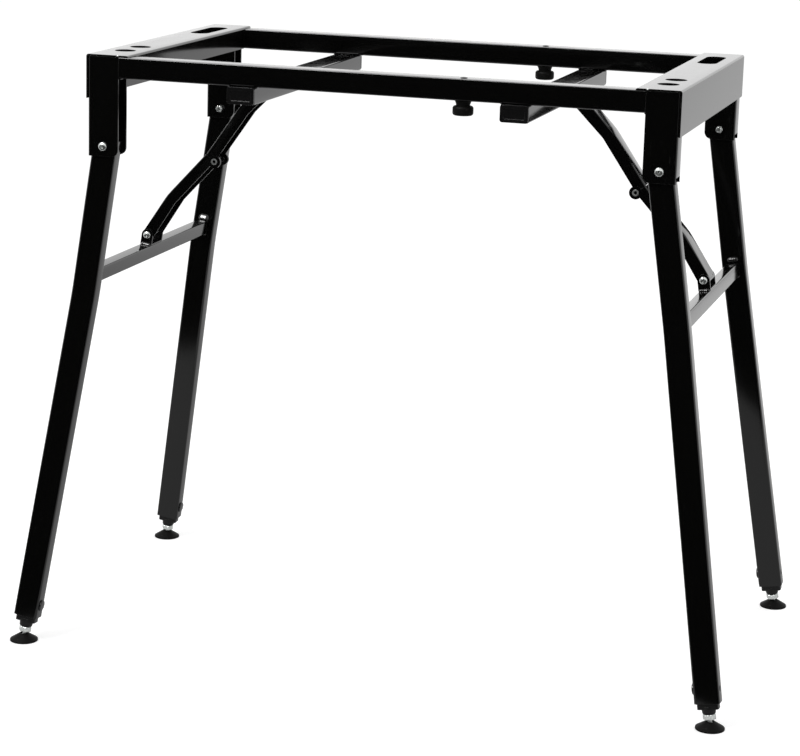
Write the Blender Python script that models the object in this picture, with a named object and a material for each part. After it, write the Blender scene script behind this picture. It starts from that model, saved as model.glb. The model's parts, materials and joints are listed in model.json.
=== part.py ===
"""Folding keyboard stand: a welded top frame on two pairs of splayed tube legs.

Each pair of legs hinges on two bolts in the corner brackets, swings inward under the frame
and is held open by a two-link brace that locks just past its straight position.
Lengths are in metres and angles in degrees. X runs along the frame, -Y is the front, Z is up.
The origin is on the floor, under the middle of the frame.
"""

import math

import bmesh
import bpy
from mathutils import Matrix, Vector

# Clearances
GAP = 0.0003
SIDE_PLAY = 0.0004
BOLT_PLAY = 0.0002

# Top frame
FRAME_LENGTH = 0.710
FRAME_DEPTH = 0.425
TOP_HEIGHT = 0.725
SHEET = 0.002
FOLD_RADIUS = 0.0028
END_WIDTH = 0.053
OUTER_SKIRT = 0.052
ROUND_HOLE = 0.025
FIRST_HOLE_INSET = 0.056
SECOND_HOLE_INSET = 0.104
HAND_SLOT_WIDTH = 0.024
HAND_SLOT_LENGTH = 0.091
HAND_SLOT_INSET = 0.040
RELIEF_WIDTH = 0.003
RELIEF_DEPTH = 0.003

# Rails and cross bars
RAIL_SIDE = 0.025
TUBE_WALL = 0.0015
TUBE_CORNER = 0.003
CROSS_BAR_WIDTH = 0.033
CROSS_BAR_HEIGHT = 0.020
CROSS_BAR_FRONT_REACH = 0.0035
CROSS_BAR_REAR_INSET = 0.009
CAP_LIP = 0.0035
CAP_PLUG = 0.010
CAP_EDGE = 0.0012
CAP_BORDER = 0.0014
CAP_PANEL_DEPTH = 0.0003

# Corner brackets
BRACKET_WIDTH = 0.0382
BRACKET_DEPTH = 0.027
BRACKET_CORNER = 0.009
WEB_RISE = 0.005

# Bumpers under the rails
BUMPER_X = 0.102
BUMPER_DISC = 0.024
BUMPER_DISC_HEIGHT = 0.0129
BUMPER_NECK = 0.016
BUMPER_NECK_TOP = 0.020
BUMPER_NECK_HEIGHT = 0.006
BUMPER_EDGE = 0.003
BUMPER_SCREW = 0.004
BUMPER_SCREW_HEAD = 0.008
BUMPER_SCREW_HEAD_HEIGHT = 0.0022
BUMPER_SCREW_REACH = 0.006

# Legs
LEG_WIDTH = 0.030
LEG_THICKNESS = 0.020
LEG_CORNER = 0.003
LEG_HEAD = 0.0070
LEG_FLARE = 5.4
LEG_BEND_RADIUS = 0.300
WASHER_RADIUS = 0.0085
PIVOT_BOLT = 0.006
PIVOT_HEAD = 0.0105
PIVOT_HEAD_HEIGHT = 0.0036
NUT_ACROSS = 0.010
NUT_HEIGHT = 0.005
BOLT_TIP = 0.001
HEAD_RIM = 0.35  # the upright share of a domed head
LEG_BAR_WIDTH = 0.015
LEG_BAR_HEIGHT = 0.018

# Braces: two folded sheet links on clevises, with the knee on the links' inner edge
KNEE_OFFSET = 0.0068
LINK_SHEET = 0.0015
LINK_DEPTH = 0.0145
LINK_END_RADIUS = 0.0075
KNEE_RADIUS = 0.008
LINK_END_SLOPE = 8.6
LINK_KNEE_SLOPE = -1.1
LINK_FOLD = 0.002
UPPER_LINK_WIDTH = 0.028
LOWER_LINK_FORK = 0.050
KNEE_RIVET = 0.008
KNEE_RIVET_BORE = 0.0042
KNEE_RIVET_LIP = 0.0007
CLEVIS_SHEET = 0.002
CLEVIS_WIDTH = 0.015
CLEVIS_RISE = 0.013
BRACE_BOLT = 0.006
BRACE_HEAD = 0.0095
BRACE_HEAD_HEIGHT = 0.0032
TOP_PIVOT_DROP = 0.0406

# What differs between the two ends: the right legs hinge higher, and fold in first
LEFT_PIVOT_INSET = 0.0213
LEFT_PIVOT_DROP = 0.1084
LEFT_SPLAY = 8.5
LEFT_BRACKET_DROP = 0.1205
LEFT_TUBE_END = 0.0323
LEFT_BEND_AT = 0.183
LEFT_BAR_AT = 0.1535
LEFT_CROSS_BAR_INSET = 0.194
LEFT_TOP_REACH = 0.0113
RIGHT_PIVOT_INSET = 0.0215
RIGHT_PIVOT_DROP = 0.0917
RIGHT_SPLAY = 8.85
RIGHT_BRACKET_DROP = 0.105
RIGHT_TUBE_END = 0.0294
RIGHT_BEND_AT = 0.184
RIGHT_BAR_AT = 0.1703
RIGHT_CROSS_BAR_INSET = 0.1895
RIGHT_TOP_REACH = 0.0102

# Feet
PLUG_STEP = 0.0068
PLUG_STEP_INSET = 0.0025
PLUG_DEPTH = 0.028
PLUG_EDGE = 0.0008
PLUG_NECK = 0.0160
PLUG_NECK_FOOT = 0.0146
PLUG_NECK_LENGTH = 0.0058
RIVET_RISE = 0.017
RIVET_SHANK = 0.004
RIVET_HEAD = 0.0078
RIVET_HEAD_HEIGHT = 0.0024
STUD = 0.010
STUD_TIP = 0.008
STUD_NECK = 0.0053
HEX_ACROSS = 0.0155
HEX_HEIGHT = 0.0063
HEX_DROP = 0.0005
PAD_DIAMETER = 0.036
PAD_RIM = 0.0022
PAD_HEIGHT = 0.0080
PAD_TOP = 0.0120
PAD_MOUTH_EDGE = 0.0006
PAD_SOCKET_FLOOR = 0.0018
BALL = 0.0075

# Facets round a bolt or a hole, round a wide piece, and in a corner
ROUND_STEPS = 12
WIDE_STEPS = 24
CORNER_STEPS = 2


class Side:
    """One end of the stand. sign is the way its legs splay along X, and drops are below the top."""

    def __init__(self, name, sign, pivot_inset, pivot_drop, splay, bracket_drop, tube_end,
                 bend_at, bar_at, cross_bar_inset, top_reach):
        self.name = name
        self.sign = sign
        self.pivot = Vector((sign * (FRAME_LENGTH / 2 - pivot_inset), 0, TOP_HEIGHT - pivot_drop))
        self.turn = Matrix.Rotation(math.radians(-sign * splay), 4, "Y")
        self.bracket_drop = bracket_drop
        self.flare_start = bend_at - LEG_BEND_RADIUS * math.tan(math.radians(LEG_FLARE / 2))
        self.bar_at = bar_at
        self.cross_bar_x = sign * (FRAME_LENGTH / 2 - cross_bar_inset)
        self.top_reach = top_reach
        top_pivot_x = self.cross_bar_x + sign * (CROSS_BAR_WIDTH / 2 + top_reach)
        self.top_pivot = Vector((top_pivot_x, 0, TOP_HEIGHT - TOP_PIVOT_DROP))
        self.lower_pivot = self.on_leg(bar_at - CLEVIS_RISE)
        self.half_span = (self.lower_pivot - self.top_pivot).length / 2
        self.link_length = math.hypot(self.half_span, KNEE_OFFSET)
        flare = math.radians(LEG_FLARE)
        drop = (self.pivot.z - tube_end) / math.cos(math.radians(splay))
        past_bend = (drop - self.flare_start - LEG_BEND_RADIUS * math.sin(flare)) / math.cos(flare)
        self.leg_length = self.flare_start + LEG_BEND_RADIUS * flare + past_bend

    def on_leg(self, down):
        """A point of the middle plane, this far down the leg from its pivot."""
        return self.pivot + self.turn @ Vector((0, 0, -down))


SIDES = (
    Side("left", -1, LEFT_PIVOT_INSET, LEFT_PIVOT_DROP, LEFT_SPLAY, LEFT_BRACKET_DROP,
         LEFT_TUBE_END, LEFT_BEND_AT, LEFT_BAR_AT, LEFT_CROSS_BAR_INSET, LEFT_TOP_REACH),
    Side("right", 1, RIGHT_PIVOT_INSET, RIGHT_PIVOT_DROP, RIGHT_SPLAY, RIGHT_BRACKET_DROP,
         RIGHT_TUBE_END, RIGHT_BEND_AT, RIGHT_BAR_AT, RIGHT_CROSS_BAR_INSET, RIGHT_TOP_REACH),
)
ENDS = (("front", -1), ("rear", 1))


# Materials

def material(name, colour, roughness, metallic):
    made = bpy.data.materials.get(name) or bpy.data.materials.new(name)
    made.use_nodes = True
    shader = made.node_tree.nodes["Principled BSDF"]
    shader.inputs["Base Color"].default_value = (*colour, 1)
    shader.inputs["Roughness"].default_value = roughness
    shader.inputs["Metallic"].default_value = metallic
    return made


def black_paint():
    return material("black_paint", (0.012, 0.012, 0.013), 0.32, 0.0)


def black_plastic():
    return material("black_plastic", (0.016, 0.016, 0.017), 0.45, 0.0)


def black_rubber():
    return material("black_rubber", (0.020, 0.020, 0.020), 0.75, 0.0)


def bright_zinc():
    return material("bright_zinc", (0.78, 0.79, 0.80), 0.22, 1.0)


# Outlines and solids

def arc(centre, radius, start, end, steps):
    """Points of an arc, with its angles in degrees."""
    points = []
    for i in range(steps + 1):
        angle = math.radians(start + (end - start) * i / steps)
        points.append((centre[0] + radius * math.cos(angle), centre[1] + radius * math.sin(angle)))
    return points


def rounded_rectangle(width, height, radius):
    points = []
    for x, y, start in ((1, 1, 0), (-1, 1, 90), (-1, -1, 180), (1, -1, 270)):
        centre = (x * (width / 2 - radius), y * (height / 2 - radius))
        points += arc(centre, radius, start, start + 90, CORNER_STEPS)
    return points


def hexagon(across_flats):
    return arc((0, 0), across_flats / math.sqrt(3), 0, 300, 5)


def circle(diameter, steps=ROUND_STEPS):
    return arc((0, 0), diameter / 2, 0, 360 * (1 - 1 / steps), steps - 1)


def folded_sheet(corners, sheet, radius):
    """A bent strip's closed outline. corners run along its outer face, with the sheet on their right."""
    outer = [corners[0]]
    inner = []
    for before, corner, after in zip(corners, corners[1:], corners[2:]):
        into = (Vector(corner) - Vector(before)).normalized()
        out = (Vector(after) - Vector(corner)).normalized()
        turn = math.degrees(into.angle_signed(out))
        centre = Vector(corner) + (out - into) * radius
        start = math.degrees(math.atan2(into.x, -into.y))
        outer += arc(centre, radius, start, start - turn, CORNER_STEPS)
        inner += arc(centre, radius - sheet, start, start - turn, CORNER_STEPS)
    outer.append(corners[-1])
    first = (Vector(corners[1]) - Vector(corners[0])).normalized()
    last = (Vector(corners[-1]) - Vector(corners[-2])).normalized()
    inner.insert(0, tuple(Vector(corners[0]) + Vector((first.y, -first.x)) * sheet))
    inner.append(tuple(Vector(corners[-1]) + Vector((last.y, -last.x)) * sheet))
    return outer + inner[::-1]


def add_object(name, shape, paint, place=None, smooth=True):
    """Makes the object from a bmesh, with place as its matrix."""
    bmesh.ops.remove_doubles(shape, verts=shape.verts, dist=1e-6)
    bmesh.ops.recalc_face_normals(shape, faces=shape.faces)
    mesh = bpy.data.meshes.new(name)
    shape.to_mesh(mesh)
    shape.free()
    if paint is not None:
        mesh.materials.append(paint)
    if smooth:
        mesh.shade_smooth()
        mesh.set_sharp_from_angle(angle=math.radians(35))
    made = bpy.data.objects.new(name, mesh)
    bpy.context.scene.collection.objects.link(made)
    if place is not None:
        made.matrix_world = place
    return made


def combine(target, name, shape, place, operation):
    """Puts a Boolean with this shape on the target, the shape being placed in the target's frame."""
    tool = add_object(f"{target.name}_{name}_form", shape, None, smooth=False)
    tool.matrix_world = target.matrix_world @ (place or Matrix())
    tool.hide_render = True
    tool.display_type = "WIRE"
    step = target.modifiers.new(name, "BOOLEAN")
    step.operation = operation
    step.object = tool


def cut(target, name, shape, place=None):
    combine(target, name, shape, place, "DIFFERENCE")


def join(target, name, shape, place=None):
    combine(target, name, shape, place, "UNION")


def prism(outline, depth):
    """The outline in XY, pushed from Z = -depth / 2 to depth / 2."""
    shape = bmesh.new()
    floor = shape.faces.new([shape.verts.new((x, y, -depth / 2)) for x, y in outline])
    top = bmesh.ops.extrude_face_region(shape, geom=[floor])["geom"]
    risen = [part for part in top if isinstance(part, bmesh.types.BMVert)]
    bmesh.ops.translate(shape, verts=risen, vec=(0, 0, depth))
    bmesh.ops.recalc_face_normals(shape, faces=shape.faces)
    return shape


def box(size, centre=(0, 0, 0)):
    shape = bmesh.new()
    bmesh.ops.create_cube(shape, size=1, matrix=Matrix.Translation(centre) @ Matrix.Diagonal((*size, 1)))
    return shape


def turned(profile, steps=ROUND_STEPS):
    """A round solid about Z from (radius, height) points that start and end on the axis."""
    shape = bmesh.new()
    points = [shape.verts.new((radius, 0, height)) for radius, height in profile]
    edges = [shape.edges.new(pair) for pair in zip(points, points[1:])]
    bmesh.ops.spin(shape, geom=points + edges, cent=(0, 0, 0), axis=(0, 0, 1),
                   angle=math.tau, steps=steps, use_merge=True)
    bmesh.ops.remove_doubles(shape, verts=shape.verts, dist=1e-6)
    bmesh.ops.recalc_face_normals(shape, faces=shape.faces)
    return shape


def ring_faces(shape, outline, hole):
    """The flat band between two outlines at Z = 0, which is a tube's end."""
    edges = []
    for loop in (outline, hole):
        points = [shape.verts.new((x, y, 0)) for x, y in loop]
        edges += [shape.edges.new(pair) for pair in zip(points, points[1:] + points[:1])]
    return bmesh.ops.bridge_loops(shape, edges=edges)["faces"]


def region(faces):
    """The faces with their edges and corners, so that an extrusion leaves no face inside."""
    edges = dict.fromkeys(edge for face in faces for edge in face.edges)
    corners = dict.fromkeys(corner for face in faces for corner in face.verts)
    return list(faces) + list(edges) + list(corners)


def lengthen(shape, faces, step):
    """Extrudes the end faces along a vector, and gives the new end."""
    grown = bmesh.ops.extrude_face_region(shape, geom=region(faces))["geom"]
    points = [part for part in grown if isinstance(part, bmesh.types.BMVert)]
    bmesh.ops.translate(shape, verts=points, vec=step)
    return [part for part in grown if isinstance(part, bmesh.types.BMFace)]


def tube_section(shape, width, height, corner):
    hole = rounded_rectangle(width - 2 * TUBE_WALL, height - 2 * TUBE_WALL, corner - TUBE_WALL)
    return ring_faces(shape, rounded_rectangle(width, height, corner), hole)


def square_tube(width, height, corner, length):
    """A tube along Z, with its middle at the origin."""
    shape = bmesh.new()
    end = tube_section(shape, width, height, corner)
    bmesh.ops.translate(shape, verts=shape.verts, vec=(0, 0, -length / 2))
    lengthen(shape, end, (0, 0, length))
    return shape


def cylinder(diameter, length, steps=ROUND_STEPS):
    return prism(circle(diameter, steps), length)


def stretch_slot(width, length, depth):
    """A round-ended slot along Y."""
    reach = (length - width) / 2
    outline = arc((0, reach), width / 2, 0, 180, 8) + arc((0, -reach), width / 2, 180, 360, 8)
    return prism(outline, depth)


def dome(diameter, height, base, steps=3):
    """(radius, height) points of a domed head from its rim up to the axis."""
    radius = diameter / 2
    rim = height * HEAD_RIM
    points = [(radius, base), (radius, base + rim)]
    for i in range(1, steps):
        angle = math.pi / 2 * i / steps
        points.append((radius * math.cos(angle), base + rim + (height - rim) * math.sin(angle)))
    return points + [(0, base + height)]


# Turns that lay a shape's own Z along another axis
Z_TO_Y = Matrix.Rotation(math.radians(-90), 4, "X")
Z_TO_MINUS_Y = Matrix.Rotation(math.radians(90), 4, "X")
Z_TO_X = Matrix.Rotation(math.radians(90), 4, "Y")
XY_TO_XZ = Matrix.Rotation(math.radians(90), 4, "X")


# Frame

def end_piece(side):
    """The folded end plate: a flat top, a deep outer skirt and a rail-deep inner one between the rails."""
    face = FRAME_LENGTH / 2
    inner = face - END_WIDTH
    corners = [(-face, TOP_HEIGHT - OUTER_SKIRT), (-face, TOP_HEIGHT), (-inner, TOP_HEIGHT),
               (-inner, rail_top() - RAIL_SIDE)]
    shape = prism(folded_sheet(corners, SHEET, FOLD_RADIUS), FRAME_DEPTH)
    bmesh.ops.transform(shape, matrix=XY_TO_XZ, verts=shape.verts)
    if side.sign > 0:
        bmesh.ops.scale(shape, vec=(-1, 1, 1), verts=shape.verts)
    plate = add_object(f"{side.name}_end_piece", shape, black_paint())
    middle = side.sign * (face - END_WIDTH / 2)
    for number, inset in enumerate((FIRST_HOLE_INSET, SECOND_HOLE_INSET)):
        spot = Matrix.Translation((middle, inset - FRAME_DEPTH / 2, TOP_HEIGHT))
        cut(plate, f"round_hole_{number + 1}", cylinder(ROUND_HOLE, 4 * SHEET, WIDE_STEPS), spot)
    slot_y = FRAME_DEPTH / 2 - HAND_SLOT_INSET - HAND_SLOT_LENGTH / 2
    cut(plate, "hand_slot", stretch_slot(HAND_SLOT_WIDTH, HAND_SLOT_LENGTH, 4 * SHEET),
        Matrix.Translation((middle, slot_y, TOP_HEIGHT)))
    rail_room = RAIL_SIDE + GAP
    for end, way in ENDS:
        spot = (side.sign * (inner + SHEET / 2), way * FRAME_DEPTH / 2, rail_top() - RAIL_SIDE)
        cut(plate, f"{end}_rail_window", box((4 * SHEET, 2 * rail_room, 2 * rail_room)),
            Matrix.Translation(spot))
    relief_x = side.sign * (face - rail_end_inset() + RELIEF_WIDTH / 2)
    cut(plate, "relief", box((RELIEF_WIDTH, 2 * RELIEF_DEPTH, 4 * SHEET)),
        Matrix.Translation((relief_x, -FRAME_DEPTH / 2, TOP_HEIGHT)))


def bracket_outer_inset():
    """From the frame's end face to the bracket's web."""
    return SHEET + GAP


def rail_end_inset():
    """From the frame's end face to the rail's end, which butts on the bracket."""
    return bracket_outer_inset() + BRACKET_WIDTH + GAP


def rail_top():
    return TOP_HEIGHT - SHEET - GAP


def rail(end, way):
    length = FRAME_LENGTH - 2 * rail_end_inset()
    y = way * (FRAME_DEPTH - RAIL_SIDE) / 2
    place = Matrix.Translation((0, y, rail_top() - RAIL_SIDE / 2)) @ Z_TO_X
    beam = add_object(f"{end}_rail", square_tube(RAIL_SIDE, RAIL_SIDE, TUBE_CORNER, length),
                      black_paint(), place)
    hole = cylinder(BUMPER_SCREW + 2 * BOLT_PLAY, 2 * RAIL_SIDE)
    cut(beam, "screw_hole", hole, Z_TO_X.inverted() @ Matrix.Translation((BUMPER_X, 0, 0)))


def cross_bar_top():
    return rail_top() - RAIL_SIDE - GAP


def cross_bar_ends():
    """The Y of the cross bar tube's two ends, each one cap's lip short of the bar's full reach."""
    front = -FRAME_DEPTH / 2 - CROSS_BAR_FRONT_REACH + CAP_LIP + GAP
    rear = FRAME_DEPTH / 2 - CROSS_BAR_REAR_INSET - CAP_LIP - GAP
    return front, rear


def cross_bar(side):
    """The flat tube under both rails, which carries the brace, and its two plastic caps."""
    front, rear = cross_bar_ends()
    height = cross_bar_top() - CROSS_BAR_HEIGHT / 2
    shape = square_tube(CROSS_BAR_WIDTH, CROSS_BAR_HEIGHT, TUBE_CORNER, rear - front)
    place = Matrix.Translation((side.cross_bar_x, (front + rear) / 2, height)) @ Z_TO_Y
    add_object(f"{side.name}_cross_bar", shape, black_paint(), place)
    for (end, _), y, turn in zip(ENDS, (front, rear), (Z_TO_MINUS_Y, Z_TO_Y)):
        place = Matrix.Translation((side.cross_bar_x, y, height)) @ turn
        add_object(f"{side.name}_cross_bar_{end}_cap", end_cap(), black_plastic(), place)


def end_cap():
    """A push-in cap: a lip with a sunk panel over the tube's end, and a plug inside. Z points out."""
    inside = 2 * (TUBE_WALL + GAP)
    shape = prism(rounded_rectangle(CROSS_BAR_WIDTH, CROSS_BAR_HEIGHT, TUBE_CORNER), CAP_LIP)
    bmesh.ops.translate(shape, verts=shape.verts, vec=(0, 0, GAP + CAP_LIP / 2))
    outer_rim = [edge for edge in shape.edges if all(v.co.z > CAP_LIP for v in edge.verts)]
    bmesh.ops.bevel(shape, geom=outer_rim, offset=CAP_EDGE, segments=1, affect="EDGES")
    panel = max(shape.faces, key=lambda face: face.calc_center_median().z)
    bmesh.ops.inset_region(shape, faces=[panel], thickness=CAP_BORDER)
    bmesh.ops.inset_region(shape, faces=[panel], thickness=CAP_PANEL_DEPTH, depth=-CAP_PANEL_DEPTH)
    floor = min(shape.faces, key=lambda face: face.calc_center_median().z)
    bmesh.ops.inset_region(shape, faces=[floor], thickness=inside / 2)
    lengthen(shape, [floor], (0, 0, -CAP_PLUG))
    return shape


def corner_bracket(side, end, way):
    """A folded U that hangs from the end piece, open inward, with the leg between its flanges."""
    outer = side.sign * (FRAME_LENGTH / 2 - bracket_outer_inset())
    half = BRACKET_DEPTH / 2
    corners = [(-BRACKET_WIDTH, half), (0, half), (0, -half), (-BRACKET_WIDTH, -half)]
    height = side.bracket_drop - SHEET - GAP
    shape = prism(folded_sheet(corners, SHEET, FOLD_RADIUS), height)
    tips = [edge for edge in shape.edges
            if all(v.co.x < -BRACKET_WIDTH + GAP and v.co.z < GAP - height / 2 for v in edge.verts)]
    bmesh.ops.bevel(shape, geom=tips, offset=BRACKET_CORNER, segments=5, affect="EDGES", profile=0.5)
    if side.sign < 0:
        bmesh.ops.scale(shape, vec=(-1, 1, 1), verts=shape.verts)
    y = way * leg_y()
    place = Matrix.Translation((outer, y, TOP_HEIGHT - SHEET - GAP - height / 2))
    bracket = add_object(f"{side.name}_{end}_corner_bracket", shape, black_paint(), place)
    foot = box((2 * FOLD_RADIUS, BRACKET_DEPTH - 2 * SHEET, 2 * WEB_RISE))
    cut(bracket, "web_foot", foot, Matrix.Translation((0, 0, -height / 2)))
    pivot = Vector((side.pivot.x, y, side.pivot.z)) - place.translation
    cut(bracket, "pivot_hole", cylinder(PIVOT_BOLT + 2 * BOLT_PLAY, 2 * BRACKET_DEPTH),
        Matrix.Translation(pivot) @ Z_TO_Y)


def pivot_bolt(side, end, way):
    """The leg's hinge bolt: a domed head outside, two washers beside the leg and a nut inside."""
    half = BRACKET_DEPTH / 2
    leg = LEG_THICKNESS / 2 + GAP
    washer = half - SHEET - GAP
    shank = PIVOT_BOLT / 2
    tip = -half - GAP - NUT_HEIGHT - BOLT_TIP
    profile = [(0, tip), (shank, tip), (shank, -washer),
               (WASHER_RADIUS, -washer), (WASHER_RADIUS, -leg), (shank, -leg), (shank, leg),
               (WASHER_RADIUS, leg), (WASHER_RADIUS, washer), (shank, washer), (shank, half + GAP)]
    profile += dome(PIVOT_HEAD, PIVOT_HEAD_HEIGHT, half + GAP)
    outward = Z_TO_Y if way > 0 else Z_TO_MINUS_Y
    place = Matrix.Translation((side.pivot.x, way * leg_y(), side.pivot.z)) @ outward
    made = add_object(f"{side.name}_{end}_pivot_bolt", turned(profile), bright_zinc(), place)
    join(made, "nut", prism(hexagon(NUT_ACROSS), NUT_HEIGHT),
         Matrix.Translation((0, 0, -half - GAP - NUT_HEIGHT / 2)))


def bumper(end, way):
    """A rubber stop for the folded legs, screwed up through the rail."""
    y = way * (FRAME_DEPTH - RAIL_SIDE) / 2
    top = rail_top() - RAIL_SIDE - GAP
    disc = BUMPER_DISC / 2
    bore = BUMPER_SCREW / 2 + GAP
    neck_foot = -BUMPER_NECK_HEIGHT
    foot = neck_foot - BUMPER_DISC_HEIGHT
    roof = foot + BUMPER_SCREW_REACH
    rim = arc((disc - BUMPER_EDGE, neck_foot - BUMPER_EDGE), BUMPER_EDGE, 90, 0, 2)
    rim += arc((disc - BUMPER_EDGE, foot + BUMPER_EDGE), BUMPER_EDGE, 0, -90, 2)
    profile = [(0, roof), (bore, roof), (bore, 0), (BUMPER_NECK_TOP / 2, 0),
               (BUMPER_NECK / 2, neck_foot)] + rim + [(0, foot)]
    add_object(f"{end}_bumper", turned(profile, WIDE_STEPS), black_rubber(),
               Matrix.Translation((BUMPER_X, y, top)))
    shank = BUMPER_SCREW / 2
    reach = RAIL_SIDE + GAP - roof - 2 * GAP
    screw = [(0, -reach), (shank, -reach), (shank, GAP)]
    screw += dome(BUMPER_SCREW_HEAD, BUMPER_SCREW_HEAD_HEIGHT, GAP)
    add_object(f"{end}_bumper_screw", turned(screw), black_paint(),
               Matrix.Translation((BUMPER_X, y, rail_top())))


# Legs

def leg_frame(side, way, down):
    """The place and turn of the leg's section this far down its own middle line."""
    start = side.flare_start
    bend = LEG_BEND_RADIUS * math.radians(LEG_FLARE)
    turned_by = max(0.0, min(1.0, (down - start) / bend)) * math.radians(LEG_FLARE)
    past = max(0.0, down - start - bend)
    y = LEG_BEND_RADIUS * (1 - math.cos(turned_by)) + past * math.sin(turned_by)
    z = min(down, start) + LEG_BEND_RADIUS * math.sin(turned_by) + past * math.cos(turned_by)
    local = Matrix.Translation((0, way * y, -z)) @ Matrix.Rotation(way * turned_by, 4, "X")
    return leg_origin(side, way) @ local


def leg_y():
    """The leg's middle plane, which is its bracket's."""
    return (FRAME_DEPTH - BRACKET_DEPTH) / 2


def leg_origin(side, way):
    return Matrix.Translation((side.pivot.x, way * leg_y(), side.pivot.z)) @ side.turn


def leg(side, end, way):
    """A rectangular tube, straight to below the bar and then bent out towards its foot."""
    shape = bmesh.new()
    band = tube_section(shape, LEG_WIDTH, LEG_THICKNESS, LEG_CORNER)
    bmesh.ops.translate(shape, verts=shape.verts, vec=(0, 0, LEG_HEAD))
    start = side.flare_start
    band = lengthen(shape, band, (0, 0, -start - LEG_HEAD))
    flare = math.radians(LEG_FLARE)
    grown = bmesh.ops.spin(shape, geom=region(band), cent=(0, way * LEG_BEND_RADIUS, -start),
                           axis=(1, 0, 0), angle=way * flare, steps=3)["geom_last"]
    band = [part for part in grown if isinstance(part, bmesh.types.BMFace)]
    rest = side.leg_length - start - LEG_BEND_RADIUS * flare
    lengthen(shape, band, (0, way * rest * math.sin(flare), -rest * math.cos(flare)))
    tube = add_object(f"{side.name}_{end}_leg", shape, black_paint(), leg_origin(side, way))
    cut(tube, "pivot_hole", cylinder(PIVOT_BOLT + 2 * BOLT_PLAY, 2 * LEG_THICKNESS), Z_TO_Y)
    rivet = leg_frame(side, way, side.leg_length - RIVET_RISE)
    inward = Matrix.Translation((-side.sign * LEG_WIDTH / 2, 0, 0)) @ Z_TO_X
    cut(tube, "rivet_hole", cylinder(RIVET_SHANK + 2 * BOLT_PLAY, LEG_WIDTH / 2),
        leg_origin(side, way).inverted() @ rivet @ inward)


def leg_bar(side):
    """The tube that ties the two legs of a side and carries the brace's lower clevis."""
    length = 2 * (leg_y() - LEG_THICKNESS / 2 - GAP)
    middle = side.on_leg(side.bar_at + LEG_BAR_HEIGHT / 2)
    place = Matrix.Translation(middle) @ side.turn @ Z_TO_Y
    shape = square_tube(LEG_BAR_WIDTH, LEG_BAR_HEIGHT, TUBE_CORNER, length)
    add_object(f"{side.name}_leg_bar", shape, black_paint(), place)


# Braces

def knee_point(side):
    """Where the two links meet at rest: past the straight line, on the inner side."""
    half = (side.lower_pivot - side.top_pivot) / 2
    inward = Vector((side.sign * half.z, 0, -side.sign * half.x)).normalized()
    return side.top_pivot + half + inward * KNEE_OFFSET


def knee_angle(side):
    """The angle between a link and the line through both end pivots."""
    return math.asin(KNEE_OFFSET / side.link_length)


def web_line(side, inside):
    """Where a link's web bends, seen from the side, and its heights at the two ends.

    inside is how far the line lies inside the web's outer face.
    """
    end_slope = math.tan(math.radians(LINK_END_SLOPE))
    knee_slope = math.tan(math.radians(LINK_KNEE_SLOPE))
    at_end = (LINK_END_RADIUS - inside) / math.cos(math.radians(LINK_END_SLOPE))
    at_knee = (LINK_DEPTH - inside) / math.cos(math.radians(LINK_KNEE_SLOPE))
    bend_x = (at_knee - side.link_length * knee_slope - at_end) / (end_slope - knee_slope)
    return bend_x, at_end + bend_x * end_slope, end_slope, knee_slope


def link_outline(side):
    """A link's side view: its end pivot at the origin, the knee at +X and the web along +Y."""
    bend_x, bend_y, _, knee_slope = web_line(side, 0)
    tip_x = side.link_length - LINK_DEPTH * math.tan(knee_angle(side)) - GAP / 2
    inner_bend_x = bend_x + LINK_DEPTH * math.tan(math.radians(LINK_END_SLOPE / 2))
    points = arc((0, 0), LINK_END_RADIUS, 270 + LINK_END_SLOPE, 90 + LINK_END_SLOPE, 8)
    points.append((bend_x, bend_y))
    points.append((tip_x, bend_y + (tip_x - bend_x) * knee_slope))
    boss_top = math.degrees(math.acos((tip_x - side.link_length) / KNEE_RADIUS))
    points += arc((side.link_length, 0), KNEE_RADIUS, boss_top, -176, 12)
    for x in (side.link_length - KNEE_RADIUS, inner_bend_x):
        points.append((x, (x - side.link_length) * knee_slope))
    return points


def link(side, name, pivot, width, fork):
    """A folded sheet link: two flanges that carry the pivots, and a web along the outer edge.

    fork is how far the web stops short of the knee, to let the other link pass.
    """
    shape = prism(link_outline(side), width)
    folds = [edge for edge in shape.edges if edge.calc_length() > LINK_END_RADIUS
             and edge.verts[0].co.z == edge.verts[1].co.z and all(v.co.y > GAP for v in edge.verts)]
    bmesh.ops.bevel(shape, geom=folds, offset=LINK_FOLD, segments=2, affect="EDGES", profile=0.5)
    made = add_object(name, shape, black_paint(), link_place(side, pivot))
    room = width - 2 * LINK_SHEET
    cut(made, "hollow", prism(link_hollow(side), room))
    if fork > 0:
        cut(made, "fork", box((2 * fork, 4 * LINK_DEPTH, room), (side.link_length, 0, 0)))
    cut(made, "end_hole", cylinder(BRACE_BOLT + 2 * BOLT_PLAY, 2 * width))
    cut(made, "knee_hole", cylinder(KNEE_RIVET_BORE + 2 * LINK_SHEET, 2 * width),
        Matrix.Translation((side.link_length, 0, 0)))


def link_hollow(side):
    """The room between the flanges: the side view with the web's sheet kept and all else open."""
    bend_x, bend_y, end_slope, knee_slope = web_line(side, LINK_SHEET)
    start = -2 * LINK_END_RADIUS
    end = side.link_length + 2 * LINK_END_RADIUS
    return [(start, bend_y + (start - bend_x) * end_slope), (start, start), (end, start),
            (end, bend_y + (end - bend_x) * knee_slope), (bend_x, bend_y)]


def link_place(side, pivot):
    """Lays a link's XY in the frame's XZ, from its pivot to the knee, with the web outward."""
    along = (knee_point(side) - pivot).normalized()
    outward = Vector((0, 1, 0)).cross(along)
    if outward.x * side.sign < 0:
        outward = -outward
    turn = Matrix((along, outward, along.cross(outward))).transposed().to_4x4()
    return Matrix.Translation(pivot) @ turn


def lower_link_width():
    return UPPER_LINK_WIDTH + 2 * (SIDE_PLAY + LINK_SHEET)


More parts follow.
